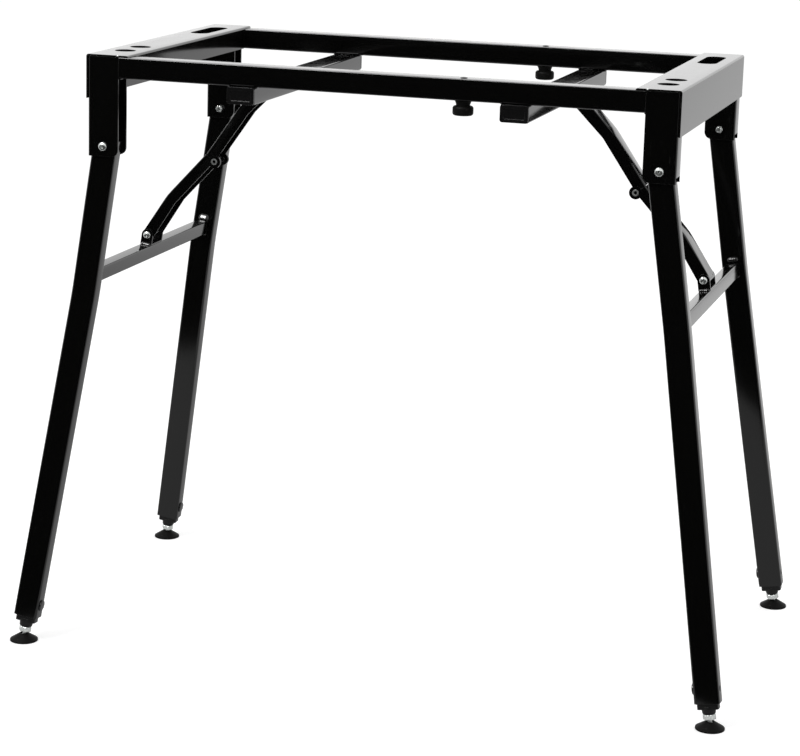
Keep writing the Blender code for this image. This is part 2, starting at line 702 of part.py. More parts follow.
def clevis(name, place, inner_width, rise):
    """A U of sheet with round-topped lugs. Its pivot is the origin, this far above its foot along Z."""
    half = inner_width / 2 + CLEVIS_SHEET
    foot = GAP - rise
    outline = arc((0, 0), CLEVIS_WIDTH / 2, 0, 180, 8)
    outline += [(-CLEVIS_WIDTH / 2, foot), (CLEVIS_WIDTH / 2, foot)]
    shape = prism(outline, 2 * half)
    bmesh.ops.transform(shape, matrix=XY_TO_XZ, verts=shape.verts)
    made = add_object(name, shape, black_paint(), place)
    room_foot = foot + CLEVIS_SHEET
    room_top = 2 * CLEVIS_WIDTH
    room = box((2 * CLEVIS_WIDTH, inner_width, room_top - room_foot), (0, 0, (room_top + room_foot) / 2))
    cut(made, "room", room)
    cut(made, "hole", cylinder(BRACE_BOLT + 2 * BOLT_PLAY, 4 * half), Z_TO_Y)


def brace_bolt(name, place, inner_width):
    """The pin of a clevis: a domed head in front and a nut behind."""
    half = inner_width / 2 + CLEVIS_SHEET + GAP
    shank = BRACE_BOLT / 2
    tip = -half - NUT_HEIGHT - BOLT_TIP
    profile = [(0, tip), (shank, tip), (shank, half)] + dome(BRACE_HEAD, BRACE_HEAD_HEIGHT, half)
    made = add_object(name, turned(profile), bright_zinc(), place @ Z_TO_MINUS_Y)
    join(made, "nut", prism(hexagon(NUT_ACROSS), NUT_HEIGHT),
         Matrix.Translation((0, 0, -half - NUT_HEIGHT / 2)))


def knee_rivet(side, end, way):
    """A hollow rivet in the lower link's flange. It ends short of the upper link's flange."""
    face = lower_link_width() / 2
    lip = KNEE_RIVET / 2
    bore = KNEE_RIVET_BORE / 2
    shank = bore + LINK_SHEET - BOLT_PLAY
    back = -LINK_SHEET + GAP / 2
    edge = GAP + KNEE_RIVET_LIP
    shape = bmesh.new()
    profile = [(bore, back), (shank, back), (shank, GAP), (lip, GAP), (lip - KNEE_RIVET_LIP / 2, edge),
               (bore, edge)]
    points = [shape.verts.new((radius, 0, height)) for radius, height in profile]
    edges = [shape.edges.new(pair) for pair in zip(points, points[1:] + points[:1])]
    bmesh.ops.spin(shape, geom=points + edges, cent=(0, 0, 0), axis=(0, 0, 1), angle=math.tau,
                   steps=ROUND_STEPS, use_merge=True)
    place = Matrix.Translation(knee_point(side) + Vector((0, way * face, 0)))
    add_object(f"{side.name}_knee_{end}_rivet", shape, bright_zinc(),
               place @ (Z_TO_Y if way > 0 else Z_TO_MINUS_Y))


def brace(side):
    """The two links with their clevises, bolts and knee rivets."""
    upper_room = UPPER_LINK_WIDTH + 2 * SIDE_PLAY
    lower_room = lower_link_width() + 2 * SIDE_PLAY
    top = Matrix.Translation(side.top_pivot) @ Matrix.Rotation(math.radians(90 * side.sign), 4, "Y")
    clevis(f"{side.name}_brace_top_clevis", top, upper_room, side.top_reach)
    brace_bolt(f"{side.name}_brace_top_bolt", top, upper_room)
    foot = Matrix.Translation(side.lower_pivot) @ side.turn
    clevis(f"{side.name}_brace_foot_clevis", foot, lower_room, CLEVIS_RISE)
    brace_bolt(f"{side.name}_brace_foot_bolt", foot, lower_room)
    link(side, f"{side.name}_upper_link", side.top_pivot, UPPER_LINK_WIDTH, 0)
    link(side, f"{side.name}_lower_link", side.lower_pivot, lower_link_width(), LOWER_LINK_FORK)
    for end, way in ENDS:
        knee_rivet(side, end, way)


# Feet

def leg_plug(side, end, way):
    """The plastic end plug: a stepped collar, a tapered neck and a body inside the tube."""
    clear = TUBE_WALL + GAP
    width = LEG_WIDTH - 2 * PLUG_STEP_INSET
    depth = LEG_THICKNESS - 2 * PLUG_STEP_INSET
    shape = prism(rounded_rectangle(width, depth, TUBE_CORNER), PLUG_STEP)
    bmesh.ops.translate(shape, verts=shape.verts, vec=(0, 0, -GAP - PLUG_STEP / 2))
    rim = [edge for edge in shape.edges if all(v.co.z < -PLUG_STEP for v in edge.verts)]
    bmesh.ops.bevel(shape, geom=rim, offset=PLUG_EDGE, segments=1, affect="EDGES")
    place = leg_frame(side, way, side.leg_length)
    made = add_object(f"{side.name}_{end}_leg_plug", shape, black_plastic(), place)
    body = rounded_rectangle(LEG_WIDTH - 2 * clear, LEG_THICKNESS - 2 * clear, LEG_CORNER - TUBE_WALL)
    inside_collar = -GAP - PLUG_STEP / 2
    join(made, "body", prism(body, PLUG_DEPTH), Matrix.Translation((0, 0, PLUG_DEPTH / 2 + inside_collar)))
    neck_foot = -GAP - PLUG_STEP - PLUG_NECK_LENGTH
    join(made, "neck", turned([(0, inside_collar), (PLUG_NECK / 2, inside_collar),
                               (PLUG_NECK_FOOT / 2, neck_foot), (0, neck_foot)]))
    bore = PLUG_DEPTH + PLUG_STEP + PLUG_NECK_LENGTH
    cut(made, "bore", cylinder(STUD + 2 * BOLT_PLAY, 2 * bore))


def plug_rivet(side, end, way):
    """The black pop rivet that holds the plug, on the leg's inner face."""
    frame = leg_frame(side, way, side.leg_length - RIVET_RISE)
    turn = Matrix.Rotation(math.radians(-90 * side.sign), 4, "Y")
    place = frame @ Matrix.Translation((-side.sign * LEG_WIDTH / 2, 0, 0)) @ turn
    shank = RIVET_SHANK / 2
    profile = [(0, -TUBE_WALL), (shank, -TUBE_WALL), (shank, GAP)]
    profile += dome(RIVET_HEAD, RIVET_HEAD_HEIGHT, GAP)
    add_object(f"{side.name}_{end}_plug_rivet", turned(profile), black_paint(), place)


def foot_height():
    """The height of the pad's ball centre above the floor."""
    return PAD_SOCKET_FLOOR + BALL / 2 + GAP


def foot_down(side, way):
    """How far down the leg its middle line passes through the pad's ball centre."""
    low = leg_frame(side, way, side.leg_length).translation
    slope = (leg_frame(side, way, side.leg_length - RIVET_RISE).translation - low).z / RIVET_RISE
    return side.leg_length + (low.z - foot_height()) / slope


def foot_stud(side, end, way):
    """The levelling screw: a threaded shank up into the plug, a hexagon and a ball below it."""
    down = foot_down(side, way)
    place = leg_frame(side, way, down)
    hex_top = down - side.leg_length - GAP - PLUG_STEP - PLUG_NECK_LENGTH - HEX_DROP
    hex_foot = hex_top - HEX_HEIGHT
    ball = BALL / 2
    neck = STUD_NECK / 2
    shank = STUD / 2
    top = hex_top + PLUG_NECK_LENGTH + PLUG_STEP + PLUG_DEPTH / 2
    neck_angle = math.degrees(math.acos(neck / ball))
    profile = [(0, -ball)] + arc((0, 0), ball, -90, neck_angle, 4)[1:]
    profile += [(neck, hex_foot), (shank, hex_foot), (shank, top - GAP), (STUD_TIP / 2, top), (0, top)]
    made = add_object(f"{side.name}_{end}_foot_stud", turned(profile), bright_zinc(), place)
    join(made, "hexagon", prism(hexagon(HEX_ACROSS), HEX_HEIGHT),
         Matrix.Translation((0, 0, (hex_top + hex_foot) / 2)))


def foot_pad(side, end, way):
    """The round cone-shaped foot, with a socket for the stud's ball, flat on the floor."""
    spot = leg_frame(side, way, foot_down(side, way)).translation
    radius = PAD_DIAMETER / 2
    rim = PAD_RIM / 2
    ball = BALL / 2 + GAP
    socket = [(0, foot_height() - ball)] + arc((0, foot_height()), ball, -90, 0, 3)[1:]
    mouth = [(ball, PAD_HEIGHT - PAD_MOUTH_EDGE), (ball + PAD_MOUTH_EDGE, PAD_HEIGHT)]
    outside = [(PAD_TOP / 2, PAD_HEIGHT)] + arc((radius - rim, rim), rim, 60, -90, 3) + [(0, 0)]
    add_object(f"{side.name}_{end}_foot_pad", turned(socket + mouth + outside, WIDE_STEPS),
               black_rubber(), Matrix.Translation((spot.x, spot.y, 0)))


def build():
    for old in list(bpy.data.objects):
        bpy.data.objects.remove(old)
    for end, way in ENDS:
        rail(end, way)
        bumper(end, way)
    for side in SIDES:
        end_piece(side)
        cross_bar(side)
        leg_bar(side)
        brace(side)
        for end, way in ENDS:
            corner_bracket(side, end, way)
            pivot_bolt(side, end, way)
            leg(side, end, way)
            leg_plug(side, end, way)
            plug_rivet(side, end, way)
            foot_stud(side, end, way)
            foot_pad(side, end, way)


build()
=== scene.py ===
"""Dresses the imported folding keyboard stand: finer pieces, welds, finishes, studio and camera.

Everything is in metres in the model's own frame: X along the stand, -Y to the front, Z up.
"""

import json
import math

import bmesh
import bpy
from bpy.props import FloatProperty, FloatVectorProperty, IntProperty, PointerProperty
from mathutils import Matrix, Vector, noise


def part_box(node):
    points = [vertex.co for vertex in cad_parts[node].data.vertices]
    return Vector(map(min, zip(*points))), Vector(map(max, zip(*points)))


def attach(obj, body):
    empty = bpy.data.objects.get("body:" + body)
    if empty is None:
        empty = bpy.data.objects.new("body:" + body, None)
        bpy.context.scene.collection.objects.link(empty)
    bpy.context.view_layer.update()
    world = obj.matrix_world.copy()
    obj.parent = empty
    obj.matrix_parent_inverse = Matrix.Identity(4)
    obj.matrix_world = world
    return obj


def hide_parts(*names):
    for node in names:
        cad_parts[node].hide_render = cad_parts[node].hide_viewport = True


bl_info = {
    "name": "Folding keyboard stand",
    "version": (1, 0, 0),
    "blender": (4, 5, 0),
    "location": "View3D > Sidebar > Stand",
    "description": "Builds the detailed pieces, finishes and studio of a folding keyboard stand",
    "category": "Object",
}

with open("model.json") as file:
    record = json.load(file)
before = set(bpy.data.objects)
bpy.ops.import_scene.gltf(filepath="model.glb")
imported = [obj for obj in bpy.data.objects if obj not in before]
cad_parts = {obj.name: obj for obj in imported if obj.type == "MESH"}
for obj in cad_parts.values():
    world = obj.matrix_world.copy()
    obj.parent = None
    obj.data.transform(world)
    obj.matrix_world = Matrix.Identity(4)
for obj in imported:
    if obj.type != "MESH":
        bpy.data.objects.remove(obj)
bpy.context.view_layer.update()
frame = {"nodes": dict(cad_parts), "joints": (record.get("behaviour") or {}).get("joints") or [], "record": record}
JOINTS = {joint["name"]: joint for joint in frame["joints"]}

# Sizes of the top frame
GAP = 0.0003
FRAME_LENGTH = 0.710
FRAME_DEPTH = 0.425
TOP_HEIGHT = 0.725
SHEET = 0.002
FOLD_RADIUS = 0.0028
END_WIDTH = 0.053
OUTER_SKIRT = 0.052
ROUND_HOLE = 0.025
HOLE_INSETS = (0.056, 0.104)
HAND_SLOT = (0.024, 0.091)
HAND_SLOT_INSET = 0.040
RELIEF = 0.003
BRACKET_WIDTH = 0.0382
BRACKET_DEPTH = 0.027
BRACKET_CORNER = 0.009
WEB_RISE = 0.007
TUBE_WALL = 0.0015
TUBE_CORNER = 0.0018
RAIL_SIDE = 0.025
RAIL_TOP = TOP_HEIGHT - SHEET - GAP
RAIL_INSET = SHEET + 2 * GAP + BRACKET_WIDTH
RAIL_TOP_CORNER = 0.001
RAIL_LOW_CORNER = 0.003
CROSS_BAR = (0.033, 0.020)
CAP_CORNER = 0.003
CAP_LIP = 0.0035
CAP_BORDER = 0.004
CAP_PANEL_CORNER = 0.0022
CAP_PANEL_DEPTH = 0.0006
CAP_PLUG = 0.010
CAP_EDGE = 0.0008

# Sizes of the bolts and rivets, with the socket as shares of the head's radius and height
BOLT_SHANK = 0.003
BOLT_TIP = 0.0024
BOLT_CHAMFER = 0.0008
BOLT_REACH = 0.001
BOLT_EDGE = 0.00012
SOCKET_ACROSS = 0.6
SOCKET_FLOOR = 0.35
NUT_ACROSS = 0.008
NUT_HEIGHT = 0.005
NUT_CHAMFER = 0.55
WASHER_RADIUS = 0.0085
PIVOT_HEAD = (0.00525, 0.0036)
BRACE_HEAD = (0.00475, 0.0032)
KNEE_BORE = 0.0021
KNEE_RIVET_BODY = 0.0034
KNEE_RIVET_DEPTH = 0.0013

# Sizes of the legs and braces
LEG_SECTION = (0.030, 0.020)
LEG_CORNER = 0.003
LEG_HEAD = 0.0070
LEG_FLARE = math.radians(5.4)
LEG_BEND_RADIUS = 0.300
LEG_Y = (FRAME_DEPTH - BRACKET_DEPTH) / 2
LEG_EDGE = 0.0002
LEG_BAR = (0.015, 0.018)
KNEE_OFFSET = 0.0068
LINK_SHEET = 0.0015
LINK_DEPTH = 0.0145
LINK_END_RADIUS = 0.0075
LINK_END_SLOPE = math.radians(8.6)
LINK_END_RISE = math.tan(LINK_END_SLOPE)
LINK_KNEE_SLOPE = math.radians(-1.1)
LINK_KNEE_RISE = math.tan(LINK_KNEE_SLOPE)
LINK_BEND_REACH = 0.008
LINK_BEND_EASE = 0.0003
LINK_FOLD_RADIUS = 0.002
LINK_EDGE = 0.0001
KNEE_RADIUS = 0.008
UPPER_LINK_WIDTH = 0.028
SIDE_PLAY = 0.0004
LOWER_LINK_WIDTH = UPPER_LINK_WIDTH + 2 * (SIDE_PLAY + LINK_SHEET)
LOWER_LINK_FORK = 0.050
CLEVIS_SHEET = 0.002
CLEVIS_WIDTH = 0.015
CLEVIS_RISE = 0.013

# Sizes of the feet
PLUG_INSET = 0.0025
PLUG_STEP = 0.0068
PLUG_BODY = 0.0275
PLUG_BODY_CORNER = 0.0015
PLUG_NECK_LENGTH = 0.0058
PLUG_NECK_RADIUS = 0.0084
PLUG_NECK_LOW_RADIUS = 0.0079
PLUG_NECK_TIP_RADIUS = 0.0073
PLUG_NECK_ROUND = 0.0012
PLUG_LEFT_REACH = 0.0008
PLUG_EDGE = 0.0011
RIVET_RISE = 0.0162
STUD_RADIUS = 0.005
STUD_HEXAGON = (0.0136, 0.0063)
STUD_THREAD_REACH = 0.0138
STUD_PLAY = 0.0002
STUD_CORE = STUD_RADIUS - 0.0007
STUD_RIDGE = STUD_RADIUS - 0.0001
STUD_GAP = 0.0005
STUD_NECK = 0.00265
STUD_NECK_RISE = 0.001
STUD_EDGE = 0.00015
BALL_RADIUS = 0.00375
PAD_BED = 0.0018
PAD_HEIGHT = 0.0097
PAD_COLLAR = 0.0058
PAD_ROUND = 0.0004
PAD_INSET = 0.0008
PAD_RIM_HEIGHT = 0.0026
PAD_RIM_ROUND = 0.0009
PAD_FOOT_ROUND = 0.0006
PAD_RECESS = 0.0006

# Sizes of the weld beads, with their widths and heights as shares of the weld size
BEAD_STEP = 0.0005
BEAD_TIP = 0.0001
BEAD_RIPPLE = 0.015
BEAD_UNEVEN = 0.14
BEAD_UNEVEN_SCALE = 150
BEAD_INSET = 0.0005
UPPER_BEAD_RISE = 0.0034
UPPER_BEAD_OUT = 0.0012
UNDER_BEAD = (0.6, 1.0)
FOOT_BEAD = 0.55
FOOT_BEAD_RISE = 0.0004
FRAME_BEAD = 0.42
RAIL_BEAD_REACH = 0.0095
CLEVIS_BEAD_REACH = 0.0062
NOTCH_DROP = 0.0017
NOTCH_DROP_ROOT = 0.0006
NOTCH_DROP_INSET = (0.0016, 0.0012)

# Both ends of a leg pair, rail or cross bar, with their way along Y
ENDS = (("front", -1), ("rear", 1))

# Turns that lay a shape's own Z along another axis
Z_TO_Y = Matrix.Rotation(math.radians(-90), 4, "X")
Z_TO_MINUS_Y = Matrix.Rotation(math.radians(90), 4, "X")
Z_TO_X = Matrix.Rotation(math.radians(90), 4, "Y")

# The camera's place, its turns about Z, X and Y, and its shift
CAMERA_PLACE = (0.8604, -3.0475, 1.0589)
CAMERA_YAW = 0.2792
CAMERA_PITCH = -0.2284
CAMERA_ROLL = -0.0303
CAMERA_SHIFT = (-0.00733, -0.00236)

# The main lamp's place, also the bright card's, and what the lamps aim at
MAIN_LAMP_PLACE = (-1.6, -2.4, 3.2)
REAR_LAMP_PLACE = (1.8, 2.6, 2.8)
LAMP_AIM = (0, 0, 0.4)


class Side:
    """One end of the stand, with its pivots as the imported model's joints have them."""

    def __init__(self, name, sign, splay, bracket_drop, tube_end, bend_at, bar_at, upper_bead):
        self.name = name
        self.sign = sign
        self.legs = f"{name}_legs"
        self.pivot = Vector(JOINTS[f"{name}_legs_fold"]["pos_m"])
        self.top_pivot = Vector(JOINTS[f"{name}_upper_link_turn"]["pos_m"])
        self.lower_pivot = Vector(JOINTS[f"{name}_lower_link_turn"]["pos_m"])
        self.turn = Matrix.Rotation(math.radians(-sign * splay), 4, "Y")
        self.bracket_drop = bracket_drop
        self.bar_at = bar_at
        self.upper_bead = upper_bead
        drop = (self.pivot.z - tube_end) / math.cos(math.radians(splay))
        self.flare_start = bend_at - LEG_BEND_RADIUS * math.tan(LEG_FLARE / 2)
        past = (drop - self.flare_start - LEG_BEND_RADIUS * math.sin(LEG_FLARE)) / math.cos(LEG_FLARE)
        self.leg_length = self.flare_start + LEG_BEND_RADIUS * LEG_FLARE + past
        half = (self.lower_pivot - self.top_pivot) / 2
        self.link_length = math.hypot(half.length, KNEE_OFFSET)
        inward = Vector((sign * half.z, 0, -sign * half.x)).normalized()
        self.knee = self.top_pivot + half + inward * KNEE_OFFSET

    def on_leg(self, down, across=0.0, y=0.0):
        """The point this far down from the pivot along the unbent leg."""
        return self.pivot + self.turn @ Vector((across, y, -down))

    def leg_origin(self, way):
        """The leg's hinge, with Z up the leg."""
        return Matrix.Translation((self.pivot.x, way * LEG_Y, self.pivot.z)) @ self.turn

    def leg_place(self, way, down):
        """The place and turn of the leg's section this far down its bent middle line."""
        bend = LEG_BEND_RADIUS * LEG_FLARE
        angle = max(0.0, min(1.0, (down - self.flare_start) / bend)) * LEG_FLARE
        past = max(0.0, down - self.flare_start - bend)
        y = LEG_BEND_RADIUS * (1 - math.cos(angle)) + past * math.sin(angle)
        z = min(down, self.flare_start) + LEG_BEND_RADIUS * math.sin(angle) + past * math.cos(angle)
        local = Matrix.Translation((0, way * y, -z)) @ Matrix.Rotation(way * angle, 4, "X")
        return self.leg_origin(way) @ local


LEFT = Side("left", -1, 8.5, bracket_drop=0.1205, tube_end=0.0323, bend_at=0.183, bar_at=0.1535,
            upper_bead=(1.25, 0.34))
RIGHT = Side("right", 1, 8.85, bracket_drop=0.105, tube_end=0.0308, bend_at=0.184, bar_at=0.1703,
             upper_bead=(0.7, 0.9))
SIDES = (LEFT, RIGHT)


# Settings

class StandFinishes(bpy.types.PropertyGroup):
    """Colours and surfaces that a user would change."""
    paint_colour: FloatVectorProperty(
        name="Paint colour", description="Colour of the powder coat", subtype="COLOR",
        default=(0.0018, 0.0018, 0.0017), min=0, max=1)
    paint_roughness: FloatProperty(
        name="Paint roughness", description="0 is a mirror gloss and 1 is flat", default=0.11,
        min=0, max=1, subtype="FACTOR")
    paint_grain: FloatProperty(
        name="Paint grain", description="Depth of the coat's fine orange peel", default=0.000006,
        min=0, max=0.001, precision=6, unit="LENGTH")
    dust_colour: FloatVectorProperty(
        name="Dust colour", description="Colour of the light dust on upward faces", subtype="COLOR",
        default=(0.16, 0.155, 0.15), min=0, max=1)
    plating_colour: FloatVectorProperty(
        name="Plating colour", description="Colour of the bright zinc on bolts and levelling feet",
        subtype="COLOR", default=(0.80, 0.83, 0.81), min=0, max=1)
    plastic_colour: FloatVectorProperty(
        name="Plastic colour", description="Colour of the caps and leg plugs", subtype="COLOR",
        default=(0.003, 0.003, 0.0031), min=0, max=1)
    rubber_colour: FloatVectorProperty(
        name="Rubber colour", description="Colour of the pads and bumpers", subtype="COLOR",
        default=(0.0028, 0.0027, 0.0026), min=0, max=1)


class StandDetails(bpy.types.PropertyGroup):
    """Sizes of the fine detail."""
    sheet_edge: FloatProperty(
        name="Sheet edge", description="Rounding along the cut edges of sheet metal", default=0.0001,
        min=0, max=0.001, precision=5, unit="LENGTH")
    weld_radius: FloatProperty(
        name="Weld size", description="Radius of the weld beads on the leg bars", default=0.0044,
        min=0.0005, max=0.005, precision=5, unit="LENGTH")
    weld_ripple: FloatProperty(
        name="Weld ripple", description="Distance between the ripples of a weld bead", default=0.0024,
        min=0.0005, max=0.01, precision=5, unit="LENGTH")
    thread_pitch: FloatProperty(
        name="Thread pitch", description="Pitch of the levelling feet's thread", default=0.0015,
        min=0.0005, max=0.003, precision=5, unit="LENGTH")
    round_steps: IntProperty(
        name="Round steps", description="Faces round a bolt or a bumper", default=48, min=12, max=128)


def details():
    """The sizes of the fine detail, as they are set in this scene."""
    return bpy.context.scene.stand_details


class StandStudio(bpy.types.PropertyGroup):
    """The light, floor and camera."""
    floor_colour: FloatVectorProperty(
        name="Floor colour", description="Colour of the studio floor", subtype="COLOR",
        default=(0.8, 0.8, 0.8), min=0, max=1)
    room_light: FloatProperty(
        name="Room light", description="Strength of the even light from all round", default=0.75, min=0)
    lamp_power: FloatProperty(
        name="Lamp power", description="Power of the main soft lamp", default=38, min=0, unit="POWER")
    lens: FloatProperty(
        name="Lens", description="Focal length of the camera", default=116.99, min=10, unit="CAMERA")


# Finishes: shader maths as plain expressions

class Wire:
    """An output socket of a shader tree, on which Python's operators add Math nodes."""

    def __init__(self, tree, socket):
        self.tree = tree
        self.socket = socket

    @staticmethod
    def make(tree, kind, settings=None, inputs=None, output=0):
        """Adds a node of this type, sets it up, fills its sockets and gives one of its outputs."""
        node = tree.nodes.new(kind)
        for name, value in (settings or {}).items():
            setattr(node, name, value)
        for name, value in (inputs or {}).items():
            if isinstance(value, Wire):
                tree.links.new(value.socket, node.inputs[name])
            else:
                node.inputs[name].default_value = value
        return Wire(tree, node.outputs[output])

    def maths(self, operation, first, second):
        """The result of a Math node on two numbers or wires."""
        return Wire.make(self.tree, "ShaderNodeMath", {"operation": operation}, {0: first, 1: second})

    def __add__(self, other):
        return self.maths("ADD", self, other)

    def __radd__(self, other):
        return self.maths("ADD", other, self)

    def __sub__(self, other):
        return self.maths("SUBTRACT", self, other)

    def __rsub__(self, other):
        return self.maths("SUBTRACT", other, self)

    def __mul__(self, other):
        return self.maths("MULTIPLY", self, other)

    def __rmul__(self, other):
        return self.maths("MULTIPLY", other, self)

    def clamped(self):
        """The value, kept from 0 to 1."""
        limited = self.maths("MAXIMUM", self, 0.0)
        return limited.maths("MINIMUM", limited, 1.0)

    def between(self, low, high):
        """0 below low and 1 above high, with a smooth rise."""
        return Wire.make(self.tree, "ShaderNodeMapRange", {"interpolation_type": "SMOOTHSTEP"},
                         {"Value": self, "From Min": low, "From Max": high})

    def blend(self, low, high):
        """The colour that lies this far from low to high."""
        first, second = (shade if isinstance(shade, Wire) else (*shade, 1) for shade in (low, high))
        # A Mix node set to colours takes them at its sockets 6 and 7 and gives the result at 2
        inputs = {0: self, 6: first, 7: second}
        return Wire.make(self.tree, "ShaderNodeMix", {"data_type": "RGBA"}, inputs, 2)


class Finish:
    """A material with its shader, and the textures that every finish here uses."""

    def __init__(self, name, ior=1.5, gloss=0.5):
        self.material = bpy.data.materials.new(name)
        self.material.use_nodes = True
        self.tree = self.material.node_tree
        self.shader = self.tree.nodes["Principled BSDF"]
        self.shader.inputs["IOR"].default_value = ior
        self.shader.inputs["Specular IOR Level"].default_value = gloss
        self.place = self.node("ShaderNodeTexCoord", output="Object")

    def node(self, kind, settings=None, inputs=None, output=0):
        """A node in this finish's own tree."""
        return Wire.make(self.tree, kind, settings, inputs, output)

    def noise(self, scale, detail=2.0, roughness=0.5, stretch=None):
        """Noise from 0 to 1 in the piece's own space."""
        place = self.place
        if stretch:
            place = self.node("ShaderNodeMapping", inputs={"Vector": place, "Scale": stretch})
        inputs = {"Vector": place, "Scale": scale, "Detail": detail, "Roughness": roughness}
        return self.node("ShaderNodeTexNoise", inputs=inputs, output="Fac")

    def upward(self):
        """How far the surface faces up, from 0 to 1."""
        normal = self.node("ShaderNodeNewGeometry", output="Normal")
        return self.node("ShaderNodeSeparateXYZ", inputs={0: normal}, output="Z").clamped()

    def edges(self, radius):
        """1 within this distance of a sharp edge, and 0 on flat faces."""
        round_normal = self.node("ShaderNodeBevel", {"samples": 4}, {"Radius": radius})
        normal = self.node("ShaderNodeNewGeometry", output="Normal")
        same = self.node("ShaderNodeVectorMath", {"operation": "DOT_PRODUCT"},
                         {0: round_normal, 1: normal}, "Value")
        return (1 - same).between(0.02, 0.25)

    def bump(self, height, distance):
        """Raises the surface by this distance where height is 1."""
        inputs = {"Height": height, "Distance": distance}
        self.join("Normal", self.node("ShaderNodeBump", inputs=inputs))

    def join(self, socket, wire):
        """Leads the wire to one of the shader's sockets."""
        self.tree.links.new(wire.socket, self.shader.inputs[socket])


def paint_finish(settings):
    """Black powder coat: fine orange peel, soft gloss changes, worn edges, hair scratches and dust."""
    finish = Finish("black_powder_coat")
    cloud = finish.noise(18, 4, 0.6)
    peel = finish.noise(1500, 2)
    speck = finish.noise(420, 3, 0.7).between(0.68, 0.74)
    scratches = finish.noise(60, 2, 0.5, (12, 12, 1)).between(0.68, 0.71)
    scratches = scratches * finish.noise(9, 2).between(0.5, 0.62)
    edge = finish.edges(0.0009)
    worn = edge * finish.noise(110, 3, 0.65).between(0.42, 0.66)
    dust = finish.upward().between(0.6, 1.0) * finish.noise(55, 4, 0.6).between(0.35, 0.8)
    colour = (worn * 0.4).blend(settings.paint_colour, (0.035, 0.033, 0.03))
    colour = (scratches * 0.2).blend(colour, (0.03, 0.03, 0.03))
    colour = (dust * 0.03 + speck * dust * 0.06).blend(colour, settings.dust_colour)
    finish.join("Base Color", colour)
    gloss = settings.paint_roughness + (cloud - 0.5) * 0.05 + (peel - 0.5) * 0.03 + edge * 0.3
    finish.join("Roughness", (gloss + dust * 0.04 + scratches * 0.08 + worn * 0.08).clamped())
    finish.bump(peel + cloud * 0.6 - scratches * 0.2, settings.paint_grain)
    return finish.material


def weld_finish(settings):
    """The same coat pooled over a weld bead: glossier, with soft lumps."""
    finish = Finish("coated_weld", ior=1.6)
    lumps = finish.noise(700, 3, 0.6)
    colour = lumps.between(0.3, 0.8).blend(settings.paint_colour, (0.014, 0.0135, 0.013))
    finish.join("Base Color", colour)
    finish.join("Roughness", (0.05 + lumps * 0.06).clamped())
    finish.bump(lumps, settings.paint_grain)
    return finish.material


def plating_finish(settings, name, tint=1.0, roughness=0.28, metal=0.75):
    """Zinc plate: a bright metal with a dull bloom and fine turning marks."""
    finish = Finish(name)
    bloom = finish.noise(260, 4, 0.6)
    finish.join("Metallic", (metal - bloom * 0.45).clamped())
    marks = finish.noise(180, 2, 0.5, (1, 1, 22))
    bright = tuple(tint * value for value in settings.plating_colour)
    dull = tuple(0.62 * value for value in bright)
    finish.join("Base Color", bloom.between(0.35, 0.75).blend(bright, dull))
    finish.join("Roughness", (roughness + (bloom - 0.5) * 0.22 + (marks - 0.5) * 0.10).clamped())
    finish.bump(bloom * 0.5 + marks, 0.000004)
    return finish.material


def plastic_finish(settings):
    """Moulded plastic: an even spark-eroded grain, with paler rubbed corners."""
    finish = Finish("moulded_plastic", ior=1.46, gloss=0.3)
    grain = finish.noise(2600, 2, 0.6)
    cloud = finish.noise(40, 3)
    rubbed = finish.edges(0.0007) * finish.noise(140, 2).between(0.4, 0.65)
    colour = (rubbed * 0.6 + cloud * 0.1).blend(settings.plastic_colour, (0.03, 0.0295, 0.028))
    finish.join("Base Color", colour)
    finish.join("Roughness", (0.25 + (grain - 0.5) * 0.10 + (cloud - 0.5) * 0.08).clamped())
    finish.bump(grain, 0.00001)
    return finish.material


def rubber_finish(settings):
    """Black rubber: soft sheen, moulding pores and grey scuffs."""
    finish = Finish("black_rubber_skin", ior=1.4, gloss=0.08)
    pores = finish.noise(1700, 3, 0.7)
    cloud = finish.noise(70, 4, 0.6)
    scuff = finish.noise(90, 3, 0.7, (1, 1, 5)).between(0.60, 0.72)
    scuff = scuff * finish.noise(23, 2).between(0.45, 0.6)
    colour = (scuff * 0.35 + cloud * 0.08).blend(settings.rubber_colour, (0.05, 0.0485, 0.046))
    finish.join("Base Color", colour)
    finish.join("Roughness", (0.5 + (cloud - 0.5) * 0.16 + (pores - 0.5) * 0.1 + scuff * 0.2).clamped())
    finish.bump(pores + cloud * 0.5, 0.00005)
    return finish.material


FINISHES = {}


def finishes():
    """Every finish and the record's slot that it stands for, made once."""
    if not FINISHES:
        settings = bpy.context.scene.stand_finishes
        FINISHES.update(
            paint=(paint_finish(settings), "black_paint"),
            weld=(weld_finish(settings), "black_paint"),
            zinc=(plating_finish(settings, "bright_zinc_plate"), "bright_zinc"),
            bolt=(plating_finish(settings, "bolt_zinc_plate", 1.0, 0.2, 1.1), "bright_zinc"),
            rivet=(plating_finish(settings, "dull_rivet", 0.42, 0.38), "bright_zinc"),
            plastic=(plastic_finish(settings), "black_plastic"),
            rubber=(rubber_finish(settings), "black_rubber"),
        )
    return FINISHES


# Outlines

def arc(centre, radius, start, end, steps):
    """Points of an arc, with its angles in degrees."""
    points = []
    for i in range(steps + 1):
        angle = math.radians(start + (end - start) * i / steps)
        points.append((centre[0] + radius * math.cos(angle), centre[1] + radius * math.sin(angle)))
    return points


def rounded_rectangle(width, height, radius, steps=7, back_radius=None):
    """An outline about the origin; back_radius rounds the corners at -X."""
    points = []
    for x, y, start in ((1, 1, 0), (-1, 1, 90), (-1, -1, 180), (1, -1, 270)):
        bend = radius if x > 0 or back_radius is None else back_radius
        centre = (x * (width / 2 - bend), y * (height / 2 - bend))
        points += arc(centre, bend, start, start + 90, steps)
    return points


